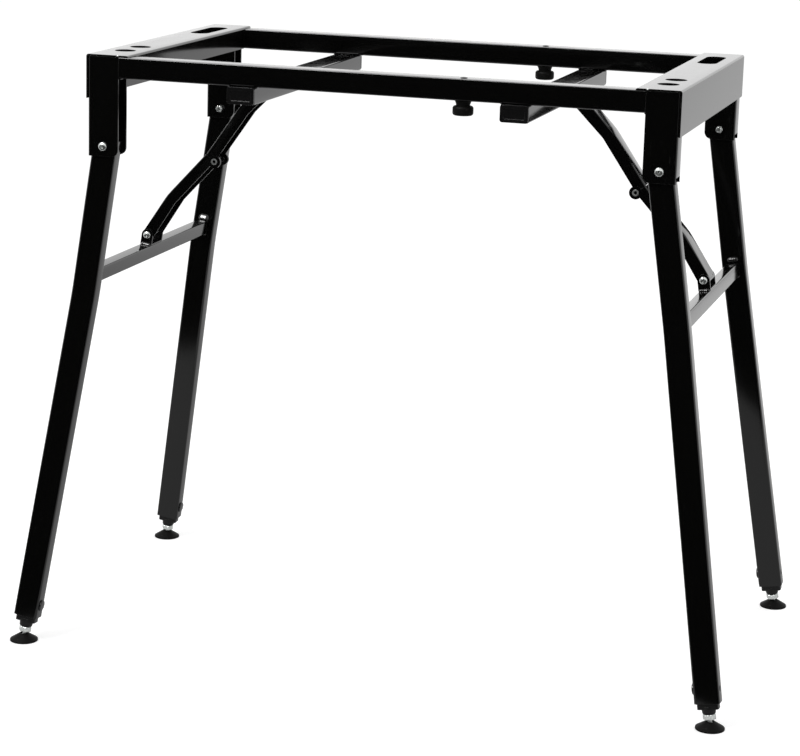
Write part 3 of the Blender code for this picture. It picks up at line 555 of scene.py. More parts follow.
def hexagon(across_flats):
    """An outline with a corner on +X."""
    return arc((0, 0), across_flats / math.sqrt(3), 0, 300, 5)


def circle(radius, steps=48):
    """The outline of a circle about the origin."""
    return arc((0, 0), radius, 0, 360 * (1 - 1 / steps), steps - 1)


def folded_sheet(corners, sheet, radius, steps=6):
    """The outline of a bent strip. corners run along its outer face, with the sheet on their right."""
    outer = [corners[0]]
    inner = []
    for before, corner, after in zip(corners, corners[1:], corners[2:]):
        into = (Vector(corner) - Vector(before)).normalized()
        out = (Vector(after) - Vector(corner)).normalized()
        turn = math.degrees(into.angle_signed(out))
        centre = Vector(corner) + (out - into) * radius
        start = math.degrees(math.atan2(into.x, -into.y))
        outer += arc(centre, radius, start, start - turn, steps)
        inner += arc(centre, radius - sheet, start, start - turn, steps)
    outer.append(corners[-1])
    first = (Vector(corners[1]) - Vector(corners[0])).normalized()
    last = (Vector(corners[-1]) - Vector(corners[-2])).normalized()
    inner.insert(0, tuple(Vector(corners[0]) + Vector((first.y, -first.x)) * sheet))
    inner.append(tuple(Vector(corners[-1]) + Vector((last.y, -last.x)) * sheet))
    return outer + inner[::-1]


# Solids

def prism(outline, low, high):
    """The outline in XY, from Z = low to high."""
    shape = bmesh.new()
    floor = shape.faces.new([shape.verts.new((x, y, low)) for x, y in outline])
    grown = bmesh.ops.extrude_face_region(shape, geom=[floor])["geom"]
    risen = [part for part in grown if isinstance(part, bmesh.types.BMVert)]
    bmesh.ops.translate(shape, verts=risen, vec=(0, 0, high - low))
    bmesh.ops.recalc_face_normals(shape, faces=shape.faces)
    return shape


def box(size, centre):
    """A block about this centre."""
    shape = bmesh.new()
    bmesh.ops.create_cube(shape, size=1, matrix=Matrix.Translation(centre) @ Matrix.Diagonal((*size, 1)))
    return shape


def turned(profile, steps=None):
    """A round solid about Z from (radius, height) points."""
    steps = steps or details().round_steps
    shape = bmesh.new()
    points = [shape.verts.new((radius, 0, height)) for radius, height in profile]
    edges = [shape.edges.new(pair) for pair in zip(points, points[1:])]
    bmesh.ops.spin(shape, geom=points + edges, cent=(0, 0, 0), axis=(0, 0, 1), angle=math.tau,
                   steps=steps, use_merge=True)
    bmesh.ops.remove_doubles(shape, verts=shape.verts, dist=1e-7)
    bmesh.ops.recalc_face_normals(shape, faces=shape.faces)
    return shape


def region(faces):
    """The faces with their edges and corners, so that an extrusion leaves no face inside."""
    edges = dict.fromkeys(edge for face in faces for edge in face.edges)
    corners = dict.fromkeys(corner for face in faces for corner in face.verts)
    return list(faces) + list(edges) + list(corners)


def lengthen(shape, faces, step):
    """Draws the faces out by this step, and gives the new end faces."""
    grown = bmesh.ops.extrude_face_region(shape, geom=region(faces))["geom"]
    points = [part for part in grown if isinstance(part, bmesh.types.BMVert)]
    bmesh.ops.translate(shape, verts=points, vec=step)
    return [part for part in grown if isinstance(part, bmesh.types.BMFace)]


def tube_end(shape, section, corner, back_corner=None):
    """The band of faces at a tube's end, at Z = 0."""
    width, height = section
    back = back_corner or corner
    hole = (width - 2 * TUBE_WALL, height - 2 * TUBE_WALL)
    outlines = (rounded_rectangle(width, height, corner, back_radius=back),
                rounded_rectangle(*hole, corner - TUBE_WALL, back_radius=max(GAP, back - TUBE_WALL)))
    edges = []
    for loop in outlines:
        points = [shape.verts.new((x, y, 0)) for x, y in loop]
        edges += [shape.edges.new(pair) for pair in zip(points, points[1:] + points[:1])]
    return bmesh.ops.bridge_loops(shape, edges=edges)["faces"]


def square_tube(section, low, high, corner=TUBE_CORNER, back_corner=None):
    """A tube along Z."""
    shape = bmesh.new()
    band = tube_end(shape, section, corner, back_corner)
    bmesh.ops.translate(shape, verts=shape.verts, vec=(0, 0, low))
    lengthen(shape, band, (0, 0, high - low))
    bmesh.ops.recalc_face_normals(shape, faces=shape.faces)
    return shape


def dome(radius, height, base, steps=8):
    """(radius, height) points of a domed head, from its rim up to the axis."""
    rim = height * 0.3
    points = [(radius - rim * 0.35, base), (radius, base + rim * 0.5), (radius, base + rim)]
    for i in range(1, steps + 1):
        angle = math.pi / 2 * i / steps
        points.append((radius * math.cos(angle), base + rim + (height - rim) * math.sin(angle)))
    points[-1] = (0, base + height)
    return points


def bead(start, end, out, radius, lift, ripple, seed, sides=18):
    """A weld bead that rises along out: a round strip with soft ripples and an uneven width."""
    span = (end - start).length
    along = (end - start) / span
    out = (out - along * out.dot(along)).normalized()
    across = along.cross(out)
    count = max(8, round(span / BEAD_STEP))
    shape = bmesh.new()
    rings = []
    for i in range(count + 1):
        travelled = span * i / count
        point = start + along * travelled
        inset = min(1.0, (min(travelled, span - travelled) + BEAD_TIP) / radius)
        wave = 1 + BEAD_RIPPLE * math.sin(math.tau * travelled / ripple)
        uneven = 1 + BEAD_UNEVEN * noise.noise(point * BEAD_UNEVEN_SCALE + Vector((seed, 0, 0)))
        size = radius * wave * uneven * math.sqrt(1 - (1 - inset) ** 2)
        angles = [math.tau * k / sides for k in range(sides)]
        rings.append([shape.verts.new(point + (out * lift * math.cos(a) + across * math.sin(a)) * size)
                      for a in angles])
    for low, high in zip(rings, rings[1:]):
        for k in range(sides):
            shape.faces.new((low[k], low[(k + 1) % sides], high[(k + 1) % sides], high[k]))
    shape.faces.new(rings[0][::-1])
    shape.faces.new(rings[-1])
    bmesh.ops.recalc_face_normals(shape, faces=shape.faces)
    return shape


# From a shape to a finished piece

def loose_object(name, shape, place):
    """An object made of the shape, which is used up."""
    mesh = bpy.data.meshes.new(name)
    shape.to_mesh(mesh)
    shape.free()
    made = bpy.data.objects.new(name, mesh)
    bpy.context.scene.collection.objects.link(made)
    made.matrix_world = place
    return made


def piece(name, shape, finish, body, place=None, replaces=(), cuts=(), joins=(), edge=0.0, steps=3,
          crease=32):
    """Makes a finished piece of the shape: cuts and joins first, then rounded edges and smooth shading."""
    place = place or Matrix()
    made = loose_object(name, shape, place)
    tools = []
    for operation, shapes in (("UNION", joins), ("DIFFERENCE", cuts)):
        for number, tool_shape in enumerate(shapes):
            tool = loose_object(f"{name}_{operation.lower()}_{number}", tool_shape, place)
            tools.append(tool)
            step = made.modifiers.new(f"{operation.lower()}_{number}", "BOOLEAN")
            step.operation = operation
            step.object = tool
    if edge > 0:
        rounding = made.modifiers.new("rounded_edges", "BEVEL")
        rounding.width = edge
        rounding.segments = steps
        rounding.limit_method = "ANGLE"
        rounding.angle_limit = math.radians(crease)
        rounding.harden_normals = True
    made.data.shade_smooth()
    made.data.set_sharp_from_angle(angle=math.radians(crease))
    if made.modifiers:
        graph = bpy.context.evaluated_depsgraph_get()
        done = bpy.data.meshes.new_from_object(made.evaluated_get(graph), preserve_all_data_layers=True,
                                               depsgraph=graph)
        made.modifiers.clear()
        made.data = done
        if edge == 0:
            done.shade_smooth()
            done.set_sharp_from_angle(angle=math.radians(crease))
        done.name = name
    for tool in tools:
        bpy.data.objects.remove(tool)
    look, slot = finishes()[finish]
    made.data.materials.clear()
    made.data.materials.append(look)
    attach(made, body)
    if replaces:
        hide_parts(*replaces)
    return made


def moved(shape, matrix):
    """The shape itself, after this move."""
    bmesh.ops.transform(shape, matrix=matrix, verts=shape.verts)
    return shape


def mirrored(shape):
    """The shape itself, mirrored left to right."""
    bmesh.ops.scale(shape, vec=(-1, 1, 1), verts=shape.verts)
    bmesh.ops.reverse_faces(shape, faces=shape.faces)
    return shape


# Top frame

def end_piece(side):
    """The folded end plate with its two round holes and its hand slot."""
    face = FRAME_LENGTH / 2
    inner = face - END_WIDTH
    corners = [(-face, TOP_HEIGHT - OUTER_SKIRT), (-face, TOP_HEIGHT), (-inner, TOP_HEIGHT),
               (-inner, RAIL_TOP - RAIL_SIDE)]
    half = FRAME_DEPTH / 2
    shape = moved(prism(folded_sheet(corners, SHEET, FOLD_RADIUS), -half, half), Z_TO_MINUS_Y)
    if side.sign > 0:
        mirrored(shape)
    middle = side.sign * (face - END_WIDTH / 2)
    cuts = []
    for inset in HOLE_INSETS:
        hole = prism(circle(ROUND_HOLE / 2), -2 * SHEET, 2 * SHEET)
        cuts.append(moved(hole, Matrix.Translation((middle, inset - half, TOP_HEIGHT))))
    width, length = HAND_SLOT
    reach = (length - width) / 2
    slot = arc((0, reach), width / 2, 0, 180, 20) + arc((0, -reach), width / 2, 180, 360, 20)
    slot_y = half - HAND_SLOT_INSET - length / 2
    cuts.append(moved(prism(slot, -2 * SHEET, 2 * SHEET), Matrix.Translation((middle, slot_y, TOP_HEIGHT))))
    for _, way in ENDS:
        window = (4 * SHEET, 2 * (RAIL_SIDE + GAP), 2 * (RAIL_SIDE + GAP))
        cuts.append(box(window, (side.sign * (inner + SHEET / 2), way * half, RAIL_TOP - RAIL_SIDE)))
    relief_x = side.sign * (face - RAIL_INSET + RELIEF / 2)
    cuts.append(box((RELIEF, 2 * RELIEF, 4 * SHEET), (relief_x, -half, TOP_HEIGHT)))
    node = f"{side.name}_end_piece"
    piece(f"{node}_plate", shape, "paint", "frame", replaces=[node], cuts=cuts,
          edge=details().sheet_edge)


def rail(end, way):
    """The square tube along the stand, between the brackets."""
    reach = FRAME_LENGTH / 2 - RAIL_INSET
    place = Matrix.Translation((0, way * (FRAME_DEPTH - RAIL_SIDE) / 2, RAIL_TOP - RAIL_SIDE / 2)) @ Z_TO_X
    tube = square_tube((RAIL_SIDE, RAIL_SIDE), -reach, reach, RAIL_LOW_CORNER, RAIL_TOP_CORNER)
    piece(f"{end}_rail_tube", tube, "paint", "frame", place, [f"{end}_rail"])


def cross_bar(side):
    """The flat tube under the rails and its two caps."""
    low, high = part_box(f"{side.name}_cross_bar")
    middle = (low + high) / 2
    half = (high.y - low.y) / 2
    piece(f"{side.name}_cross_bar_tube", square_tube(CROSS_BAR, -half, half), "paint", "frame",
          Matrix.Translation(middle) @ Z_TO_Y, [f"{side.name}_cross_bar"])
    for (end, _), y, turn in zip(ENDS, (low.y, high.y), (Z_TO_MINUS_Y, Z_TO_Y)):
        cap(side, end, Matrix.Translation((middle.x, y, middle.z)) @ turn)


def cap(side, end, place):
    """A push-in cap: a pillowed lip with a sunk panel, and a plug inside the tube."""
    width, height = CROSS_BAR
    face = GAP + CAP_LIP
    shape = prism(rounded_rectangle(width, height, CAP_CORNER), GAP, face)
    sunk = rounded_rectangle(width - 2 * CAP_BORDER, height - 2 * CAP_BORDER, CAP_PANEL_CORNER)
    panel = prism(sunk, face - CAP_PANEL_DEPTH, 2 * face)
    inside = 2 * (TUBE_WALL + GAP)
    outline = rounded_rectangle(width - inside, height - inside, TUBE_CORNER - TUBE_WALL)
    plug = prism(outline, -CAP_PLUG, 2 * GAP)
    node = f"{side.name}_cross_bar_{end}_cap"
    piece(f"{node}_moulding", shape, "plastic", "frame", place, [node], cuts=[panel], joins=[plug],
          edge=CAP_EDGE)


def bumper(end):
    """The rubber stop: a waisted neck over a soft-edged disc, and the screw that holds it."""
    low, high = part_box(f"{end}_bumper")
    spot = (low + high) / 2
    radius = (high.x - low.x) / 2
    neck_top, neck, neck_height = 0.010, 0.008, 0.006
    thinner = 0.0018
    foot = low.z - high.z + thinner
    profile = [(0, 0), (neck_top, 0)]
    waist_steps = 6
    for i in range(1, waist_steps + 1):
        share = i / waist_steps
        waist = neck_top + (neck - neck_top) * math.sin(share * math.pi / 2)
        profile.append((waist, -neck_height * share))
    soft = 0.003
    profile.append((radius - soft, -neck_height))
    profile += arc((radius - soft, -neck_height - soft), soft, 80, 0, 6)
    profile += arc((radius - soft, foot + soft), soft, 0, -90, 6)
    recess, recess_mouth, recess_depth = 0.0048, 0.0055, 0.0012
    profile += [(recess_mouth, foot), (recess, foot + recess_depth), (0, foot + recess_depth)]
    piece(f"{end}_bumper_rubber", turned(profile), "rubber", "frame",
          Matrix.Translation((spot.x, spot.y, high.z)), [f"{end}_bumper"])
    shank, head, rise = 0.002, 0.0042, 0.0009
    screw = [(0, -shank), (shank, -shank), (shank, 0)] + dome(head, rise, 0.0)
    cross = [box((head, rise, rise), (0, 0, rise)), box((rise, head, rise), (0, 0, rise))]
    piece(f"{end}_bumper_screw_head", turned(screw, 32), "paint", "frame",
          Matrix.Translation((spot.x, spot.y, RAIL_TOP + GAP)), [f"{end}_bumper_screw"], cuts=cross)


def corner_bracket(side, end, way):
    """The folded U between whose flanges the leg hangs."""
    outer = side.sign * (FRAME_LENGTH / 2 - SHEET - GAP)
    half = BRACKET_DEPTH / 2
    corners = [(-BRACKET_WIDTH, half), (0, half), (0, -half), (-BRACKET_WIDTH, -half)]
    height = side.bracket_drop - SHEET - GAP
    shape = prism(folded_sheet(corners, SHEET, FOLD_RADIUS), -height / 2, height / 2)
    tips = [edge for edge in shape.edges
            if all(v.co.x < -BRACKET_WIDTH + GAP and v.co.z < GAP - height / 2 for v in edge.verts)]
    bmesh.ops.bevel(shape, geom=tips, offset=BRACKET_CORNER, segments=12, affect="EDGES", profile=0.5)
    if side.sign < 0:
        mirrored(shape)
    foot = box((2 * FOLD_RADIUS, BRACKET_DEPTH - 2 * SHEET, 2 * WEB_RISE), (0, 0, -height / 2))
    place = Matrix.Translation((outer, way * LEG_Y, TOP_HEIGHT - SHEET - GAP - height / 2))
    node = f"{side.name}_{end}_corner_bracket"
    piece(f"{node}_fold", shape, "paint", "frame", place, [node], cuts=[foot],
          edge=details().sheet_edge)


# Bolts

def nut(across, low, high):
    """A nut: a hexagon whose corners are turned off at both faces."""
    shape = prism(hexagon(across), low, high)
    chamfer = (across / math.sqrt(3) - across / 2) * NUT_CHAMFER
    ends = [edge for edge in shape.edges if abs(edge.verts[0].co.z - edge.verts[1].co.z) < 1e-6]
    bmesh.ops.bevel(shape, geom=ends, offset=chamfer, segments=1, affect="EDGES")
    return shape


def bolt(node, place, body, face, head, carried=()):
    """A domed bolt through both faces at this distance from its middle, with its socket and its nut.

    carried is the outline of what its shank carries between the faces."""
    radius, height = head
    end = -face - NUT_HEIGHT - BOLT_REACH
    profile = [(0, end), (BOLT_TIP, end), (BOLT_SHANK, end + BOLT_CHAMFER), *carried, (BOLT_SHANK, face)]
    profile += dome(radius, height, face)
    socket = prism(hexagon(radius * SOCKET_ACROSS), face + height * SOCKET_FLOOR, face + height * 2)
    piece(f"{node}_set", turned(profile), "bolt", body, place, [node], cuts=[socket],
          joins=[nut(NUT_ACROSS, -face - NUT_HEIGHT, -face)], edge=BOLT_EDGE, steps=2, crease=25)


def pivot_bolt(side, end, way):
    """The leg's hinge bolt, with its washers inside the bracket and a lock nut behind."""
    face = BRACKET_DEPTH / 2 + GAP
    leg_face = LEG_SECTION[1] / 2 + GAP
    flange = BRACKET_DEPTH / 2 - SHEET - GAP
    washers = []
    for low, high in ((-flange, -leg_face), (leg_face, flange)):
        washers += [(BOLT_SHANK, low), (WASHER_RADIUS, low), (WASHER_RADIUS, high), (BOLT_SHANK, high)]
    spot = Matrix.Translation((side.pivot.x, way * LEG_Y, side.pivot.z))
    outward = Z_TO_Y if way > 0 else Z_TO_MINUS_Y
    bolt(f"{side.name}_{end}_pivot_bolt", spot @ outward, "frame", face, PIVOT_HEAD, washers)


def brace_bolt(node, place, body, inner_width):
    """The bolt through a clevis and the link's end in it."""
    bolt(node, place @ Z_TO_MINUS_Y, body, inner_width / 2 + CLEVIS_SHEET + GAP, BRACE_HEAD)


# Legs

def leg(side, end, way):
    """The leg tube with its long bend."""
    shape = bmesh.new()
    band = tube_end(shape, LEG_SECTION, LEG_CORNER)
    bmesh.ops.translate(shape, verts=shape.verts, vec=(0, 0, LEG_HEAD))
    start = side.flare_start
    band = lengthen(shape, band, (0, 0, -start - LEG_HEAD))
    grown = bmesh.ops.spin(shape, geom=region(band), cent=(0, way * LEG_BEND_RADIUS, -start),
                           axis=(1, 0, 0), angle=way * LEG_FLARE, steps=10)["geom_last"]
    band = [part for part in grown if isinstance(part, bmesh.types.BMFace)]
    rest = side.leg_length - start - LEG_BEND_RADIUS * LEG_FLARE
    lengthen(shape, band, (0, way * rest * math.sin(LEG_FLARE), -rest * math.cos(LEG_FLARE)))
    bmesh.ops.recalc_face_normals(shape, faces=shape.faces)
    node = f"{side.name}_{end}_leg"
    piece(f"{node}_tube", shape, "paint", side.legs, side.leg_origin(way), [node], edge=LEG_EDGE, steps=2,
          crease=50)


def leg_bar(side):
    """The tube between the two legs of a side."""
    half = LEG_Y - LEG_SECTION[1] / 2 - GAP
    place = Matrix.Translation(side.on_leg(side.bar_at + LEG_BAR[1] / 2)) @ side.turn @ Z_TO_Y
    piece(f"{side.name}_leg_bar_tube", square_tube(LEG_BAR, -half, half), "paint", side.legs, place,
          [f"{side.name}_leg_bar"])


# Braces

def web_bend(side, inside):
    """Where a link's web bends, seen from the side, this far inside its outer face."""
    at_end = (LINK_END_RADIUS - inside) / math.cos(LINK_END_SLOPE)
    at_knee = (LINK_DEPTH - inside) / math.cos(LINK_KNEE_SLOPE)
    x = (at_knee - side.link_length * LINK_KNEE_RISE - at_end) / (LINK_END_RISE - LINK_KNEE_RISE)
    return x, at_end + x * LINK_END_RISE


def link_shape(side, width):
    """The link before it is hollowed, with the folds along its web rounded."""
    bend_x, bend_y = web_bend(side, 0)
    knee_angle = math.asin(KNEE_OFFSET / side.link_length)
    tip_x = side.link_length - LINK_DEPTH * math.tan(knee_angle) - GAP / 2
    inner_bend_x = bend_x + LINK_DEPTH * math.tan(LINK_END_SLOPE / 2)
    slope = math.degrees(LINK_END_SLOPE)
    points = arc((0, 0), LINK_END_RADIUS, 270 + slope, 90 + slope, 20)
    web_from = len(points) - 1
    points += [(bend_x - LINK_BEND_REACH, bend_y - LINK_BEND_REACH * LINK_END_RISE),
               (bend_x, bend_y - LINK_BEND_EASE),
               (bend_x + LINK_BEND_REACH, bend_y + LINK_BEND_REACH * LINK_KNEE_RISE),
               (tip_x, bend_y + (tip_x - bend_x) * LINK_KNEE_RISE)]
    web_to = len(points) - 1
    boss_top = math.degrees(math.acos((tip_x - side.link_length) / KNEE_RADIUS))
    points += arc((side.link_length, 0), KNEE_RADIUS, boss_top, -176, 24)
    for x in (side.link_length - KNEE_RADIUS, inner_bend_x):
        points.append((x, (x - side.link_length) * LINK_KNEE_RISE))
    shape = prism(points, -width / 2, width / 2)
    web = {(round(x, 6), round(y, 6)) for x, y in points[web_from:web_to + 1]}
    folds = [edge for edge in shape.edges
             if abs(edge.verts[0].co.z - edge.verts[1].co.z) < 1e-7
             and all((round(v.co.x, 6), round(v.co.y, 6)) in web for v in edge.verts)]
    bmesh.ops.bevel(shape, geom=folds, offset=LINK_FOLD_RADIUS, segments=5, affect="EDGES", profile=0.5)
    return shape


def link_hollow(side):
    """The outline of a link's open inside, seen from the side."""
    bend_x, bend_y = web_bend(side, LINK_SHEET)
    start = -2 * LINK_END_RADIUS
    end = side.link_length + 2 * LINK_END_RADIUS
    return [(start, bend_y + (start - bend_x) * LINK_END_RISE), (start, start), (end, start),
            (end, bend_y + (end - bend_x) * LINK_KNEE_RISE), (bend_x, bend_y)]


def link_place(side, pivot):
    """A place at the pivot with X to the knee and Y to the link's outer side."""
    along = (side.knee - pivot).normalized()
    outward = Vector((0, 1, 0)).cross(along)
    if outward.x * side.sign < 0:
        outward = -outward
    turn = Matrix((along, outward, along.cross(outward))).transposed().to_4x4()
    return Matrix.Translation(pivot) @ turn


def link(side, kind, pivot, width, fork):
    """A folded link, open on its inner side and rounded along its folds."""
    room = width / 2 - LINK_SHEET
    bore = prism(circle(KNEE_BORE, 24), -width, width)
    cuts = [prism(link_hollow(side), -room, room),
            moved(bore, Matrix.Translation((side.link_length, 0, 0)))]
    if fork:
        cuts.append(box((2 * fork, 4 * LINK_DEPTH, 2 * room), (side.link_length, 0, 0)))
    node = f"{side.name}_{kind}_link"
    piece(f"{node}_channel", link_shape(side, width), "paint", node, link_place(side, pivot), [node],
          cuts=cuts, edge=LINK_EDGE, steps=2, crease=40)


def clevis(node, place, body, inner_width, rise):
    """The welded U that holds a link's end."""
    half = inner_width / 2 + CLEVIS_SHEET
    foot = GAP - rise
    outline = arc((0, 0), CLEVIS_WIDTH / 2, 0, 180, 24)
    outline += [(-CLEVIS_WIDTH / 2, foot), (CLEVIS_WIDTH / 2, foot)]
    shape = moved(prism(outline, -half, half), Z_TO_MINUS_Y)
    room_foot = foot + CLEVIS_SHEET
    room = box((2 * CLEVIS_WIDTH, inner_width, 2 * CLEVIS_WIDTH), (0, 0, CLEVIS_WIDTH + room_foot))
    piece(f"{node}_sheet", shape, "paint", body, place, [node], cuts=[room],
          edge=details().sheet_edge)


def knee_rivet(side, end, way):
    """A hollow rivet with a rolled lip, and its tail on the upper link's inner face."""
    base = (KNEE_BORE, -KNEE_RIVET_DEPTH)
    profile = [base, (KNEE_RIVET_BODY, -KNEE_RIVET_DEPTH), (KNEE_RIVET_BODY, GAP), (0.0039, GAP)]
    profile += arc((0.0036, 0.0006), 0.0004, 0, 90, 5) + arc((0.0024, 0.0007), 0.0003, 90, 180, 4)
    profile.append(base)
    node = f"{side.name}_knee_{end}_rivet"
    outward, inward = (Z_TO_Y, Z_TO_MINUS_Y) if way > 0 else (Z_TO_MINUS_Y, Z_TO_Y)
    outer_face = side.knee + Vector((0, way * LOWER_LINK_WIDTH / 2, 0))
    piece(f"{node}_ring", turned(profile), "rivet", f"{side.name}_lower_link",
          Matrix.Translation(outer_face) @ outward, [node])
    inner_face = side.knee + Vector((0, way * (UPPER_LINK_WIDTH / 2 - LINK_SHEET - GAP / 2), 0))
    tail = [(0, 0), (0.0033, 0)] + dome(0.0035, 0.0017, 0.0)[1:]
    piece(f"{node}_tail", turned(tail), "paint", f"{side.name}_upper_link",
          Matrix.Translation(inner_face) @ inward)


def brace(side):
    """The folding brace: two clevises with their bolts, two links and the knee between them."""
    upper_room = UPPER_LINK_WIDTH + 2 * SIDE_PLAY
    lower_room = LOWER_LINK_WIDTH + 2 * SIDE_PLAY
    low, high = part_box(f"{side.name}_cross_bar")
    bar_face = high.x if side.sign > 0 else low.x
    top = Matrix.Translation(side.top_pivot) @ Matrix.Rotation(math.radians(90 * side.sign), 4, "Y")
    foot = Matrix.Translation(side.lower_pivot) @ side.turn
    clevis(f"{side.name}_brace_top_clevis", top, "frame", upper_room, abs(side.top_pivot.x - bar_face))
    brace_bolt(f"{side.name}_brace_top_bolt", top, "frame", upper_room)
    clevis(f"{side.name}_brace_foot_clevis", foot, side.legs, lower_room, CLEVIS_RISE)
    brace_bolt(f"{side.name}_brace_foot_bolt", foot, side.legs, lower_room)
    link(side, "upper", side.top_pivot, UPPER_LINK_WIDTH, 0)
    link(side, "lower", side.lower_pivot, LOWER_LINK_WIDTH, LOWER_LINK_FORK)
    for end, way in ENDS:
        knee_rivet(side, end, way)


# Feet

def neck_length(side):
    """How far the plug's neck reaches down to the stud's hexagon, a little further on the left."""
    return PLUG_NECK_LENGTH + (PLUG_LEFT_REACH if side.sign < 0 else 0)


def leg_plug(side, end, way):
    """The moulded plug: a stepped collar with a tapered neck, and its body inside the tube."""
    width, depth = LEG_SECTION
    step_foot = -GAP - PLUG_STEP
    collar = rounded_rectangle(width - 2 * PLUG_INSET, depth - 2 * PLUG_INSET, CAP_CORNER)
    shape = prism(collar, step_foot, -GAP)
    inside = 2 * (TUBE_WALL + GAP)
    outline = rounded_rectangle(width - inside, depth - inside, PLUG_BODY_CORNER)
    body = prism(outline, -2 * GAP, PLUG_BODY)
    neck_top = -GAP - PLUG_STEP / 2
    neck_foot = step_foot - neck_length(side)
    neck = turned([(0, neck_top), (PLUG_NECK_RADIUS, neck_top), (PLUG_NECK_RADIUS, step_foot),
                   (PLUG_NECK_LOW_RADIUS, neck_foot + PLUG_NECK_ROUND),
                   (PLUG_NECK_TIP_RADIUS, neck_foot), (0, neck_foot)])
    far = 0.05
    bore = prism(circle(STUD_RADIUS + STUD_PLAY, 32), -far, far)
    node = f"{side.name}_{end}_leg_plug"
    place = side.leg_place(way, side.leg_length)
    piece(f"{node}_moulding", shape, "plastic", side.legs, place, [node], cuts=[bore], joins=[body, neck],
          edge=PLUG_EDGE, steps=4, crease=40)


def plug_fixing(side, end, way):
    """The pop rivet on the leg's inner face, and the flush clip of the plug on its outer face."""
    spot = side.leg_place(way, side.leg_length - RIVET_RISE)
    node = f"{side.name}_{end}_plug_rivet"
    shank, shank_depth, rim = 0.0019, 0.0014, 0.0013
    head = [(0, -shank_depth), (shank, -shank_depth), (shank, GAP), (0.0069, GAP)]
    head += arc((0.0056, GAP + 0.0005), rim, 0, 90, 6) + [(0, GAP + 0.0018)]
    clip = [(0, -0.001), (0.0034, -0.001), (0.0034, 0.00015), (0.0031, 0.0003), (0, 0.0003)]
    for where, sign, profile, finish, replaced in (("head", -side.sign, head, "paint", [node]),
                                                   ("clip", side.sign, clip, "plastic", ())):
        place = spot @ Matrix.Translation((sign * LEG_SECTION[0] / 2, 0, 0))
        place = place @ Matrix.Rotation(math.radians(90 * sign), 4, "Y")
        piece(f"{node}_{where}", turned(profile, 32), finish, side.legs, place, replaced)


def thread(radius, pitch, low, high, depth=0.0006):
    """A cut thread along Z, made by spinning one tooth up a helix."""
    steps = 24
    turns = int((high - low) / pitch)
    shape = bmesh.new()
    tooth = [(radius - depth, 0), (radius, pitch * 0.4), (radius, pitch * 0.6), (radius - depth, pitch)]
    points = [shape.verts.new((x, 0, low + z)) for x, z in tooth]
    edges = [shape.edges.new(pair) for pair in zip(points, points[1:])]
    bmesh.ops.spin(shape, geom=points + edges, cent=(0, 0, 0), axis=(0, 0, 1), angle=math.tau * turns,
                   dvec=(0, 0, pitch / steps), steps=steps * turns)
    bmesh.ops.remove_doubles(shape, verts=shape.verts, dist=1e-6)
    bmesh.ops.recalc_face_normals(shape, faces=shape.faces)
    return shape


def foot_stud(side, end, way):
    """The levelling screw: its thread, its hexagon and the ball that the pad turns on."""
    node = f"{side.name}_{end}_foot_stud"
    ball = Vector(JOINTS[f"{side.name}_{end}_pad_swivel"]["pos_m"])
    lean = side.leg_place(way, side.leg_length)
    place = Matrix.Translation(ball) @ lean.to_3x3().to_4x4()
    across, height = STUD_HEXAGON
    hex_top = (lean.translation - ball).length - GAP - PLUG_STEP - neck_length(side) - STUD_GAP
    hex_foot = hex_top - height
    top = hex_top + PLUG_NECK_LENGTH + PLUG_STEP + STUD_THREAD_REACH
    profile = arc((0, 0), BALL_RADIUS, -90, 45, 14)
    profile[0] = (0, -BALL_RADIUS)
    profile += [(STUD_NECK, hex_foot), (STUD_CORE, hex_foot + STUD_NECK_RISE), (STUD_CORE, top), (0, top)]
    piece(f"{node}_screw", turned(profile, 40), "zinc", node, place, [node],
          joins=[nut(across, hex_foot, hex_top)], edge=STUD_EDGE, steps=2, crease=28)
    ridge = thread(STUD_RIDGE, details().thread_pitch, hex_top - STUD_GAP, top - STUD_GAP)
    piece(f"{node}_thread", ridge, "zinc", node, place)


def foot_pad(side, end):
    """The cone-shaped pad: a collar round the ball, a straight slope and a rolled rim."""
    node = f"{side.name}_{end}_foot_pad"
    low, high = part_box(node)
    spot = (low + high) / 2
    radius = (high.x - low.x) / 2 - PAD_INSET
    ball = BALL_RADIUS + GAP
    centre = PAD_BED + ball
    profile = [(0, centre - ball)] + arc((0, centre), ball, -75, 0, 7)
    profile += [(ball, PAD_HEIGHT - 0.0006), (ball + PAD_ROUND, PAD_HEIGHT), (0.0053, PAD_HEIGHT),
                (PAD_COLLAR, PAD_HEIGHT - PAD_ROUND)]
    profile += arc((radius - PAD_RIM_ROUND, PAD_RIM_HEIGHT - PAD_RIM_ROUND), PAD_RIM_ROUND, 60, 0, 5)
    profile.append((radius, 0.0008))
    profile += arc((radius - PAD_FOOT_ROUND, PAD_FOOT_ROUND), PAD_FOOT_ROUND, 0, -70, 4)
    profile += [(radius - 0.0020, 0), (0.012, 0), (0.0115, PAD_RECESS), (0, PAD_RECESS)]
    piece(f"{node}_cone", turned(profile, 64), "rubber", node, Matrix.Translation((spot.x, spot.y, 0)),
          [node])


# Welds

def weld(name, start, end, out, radius, body, seed, lift=1.0):
    """A bead as a piece of its own; lift is its height as a share of its half width."""
    shape = bead(start, end, Vector(out), radius, lift, details().weld_ripple, seed)
    piece(name, shape, "weld", body, crease=80)


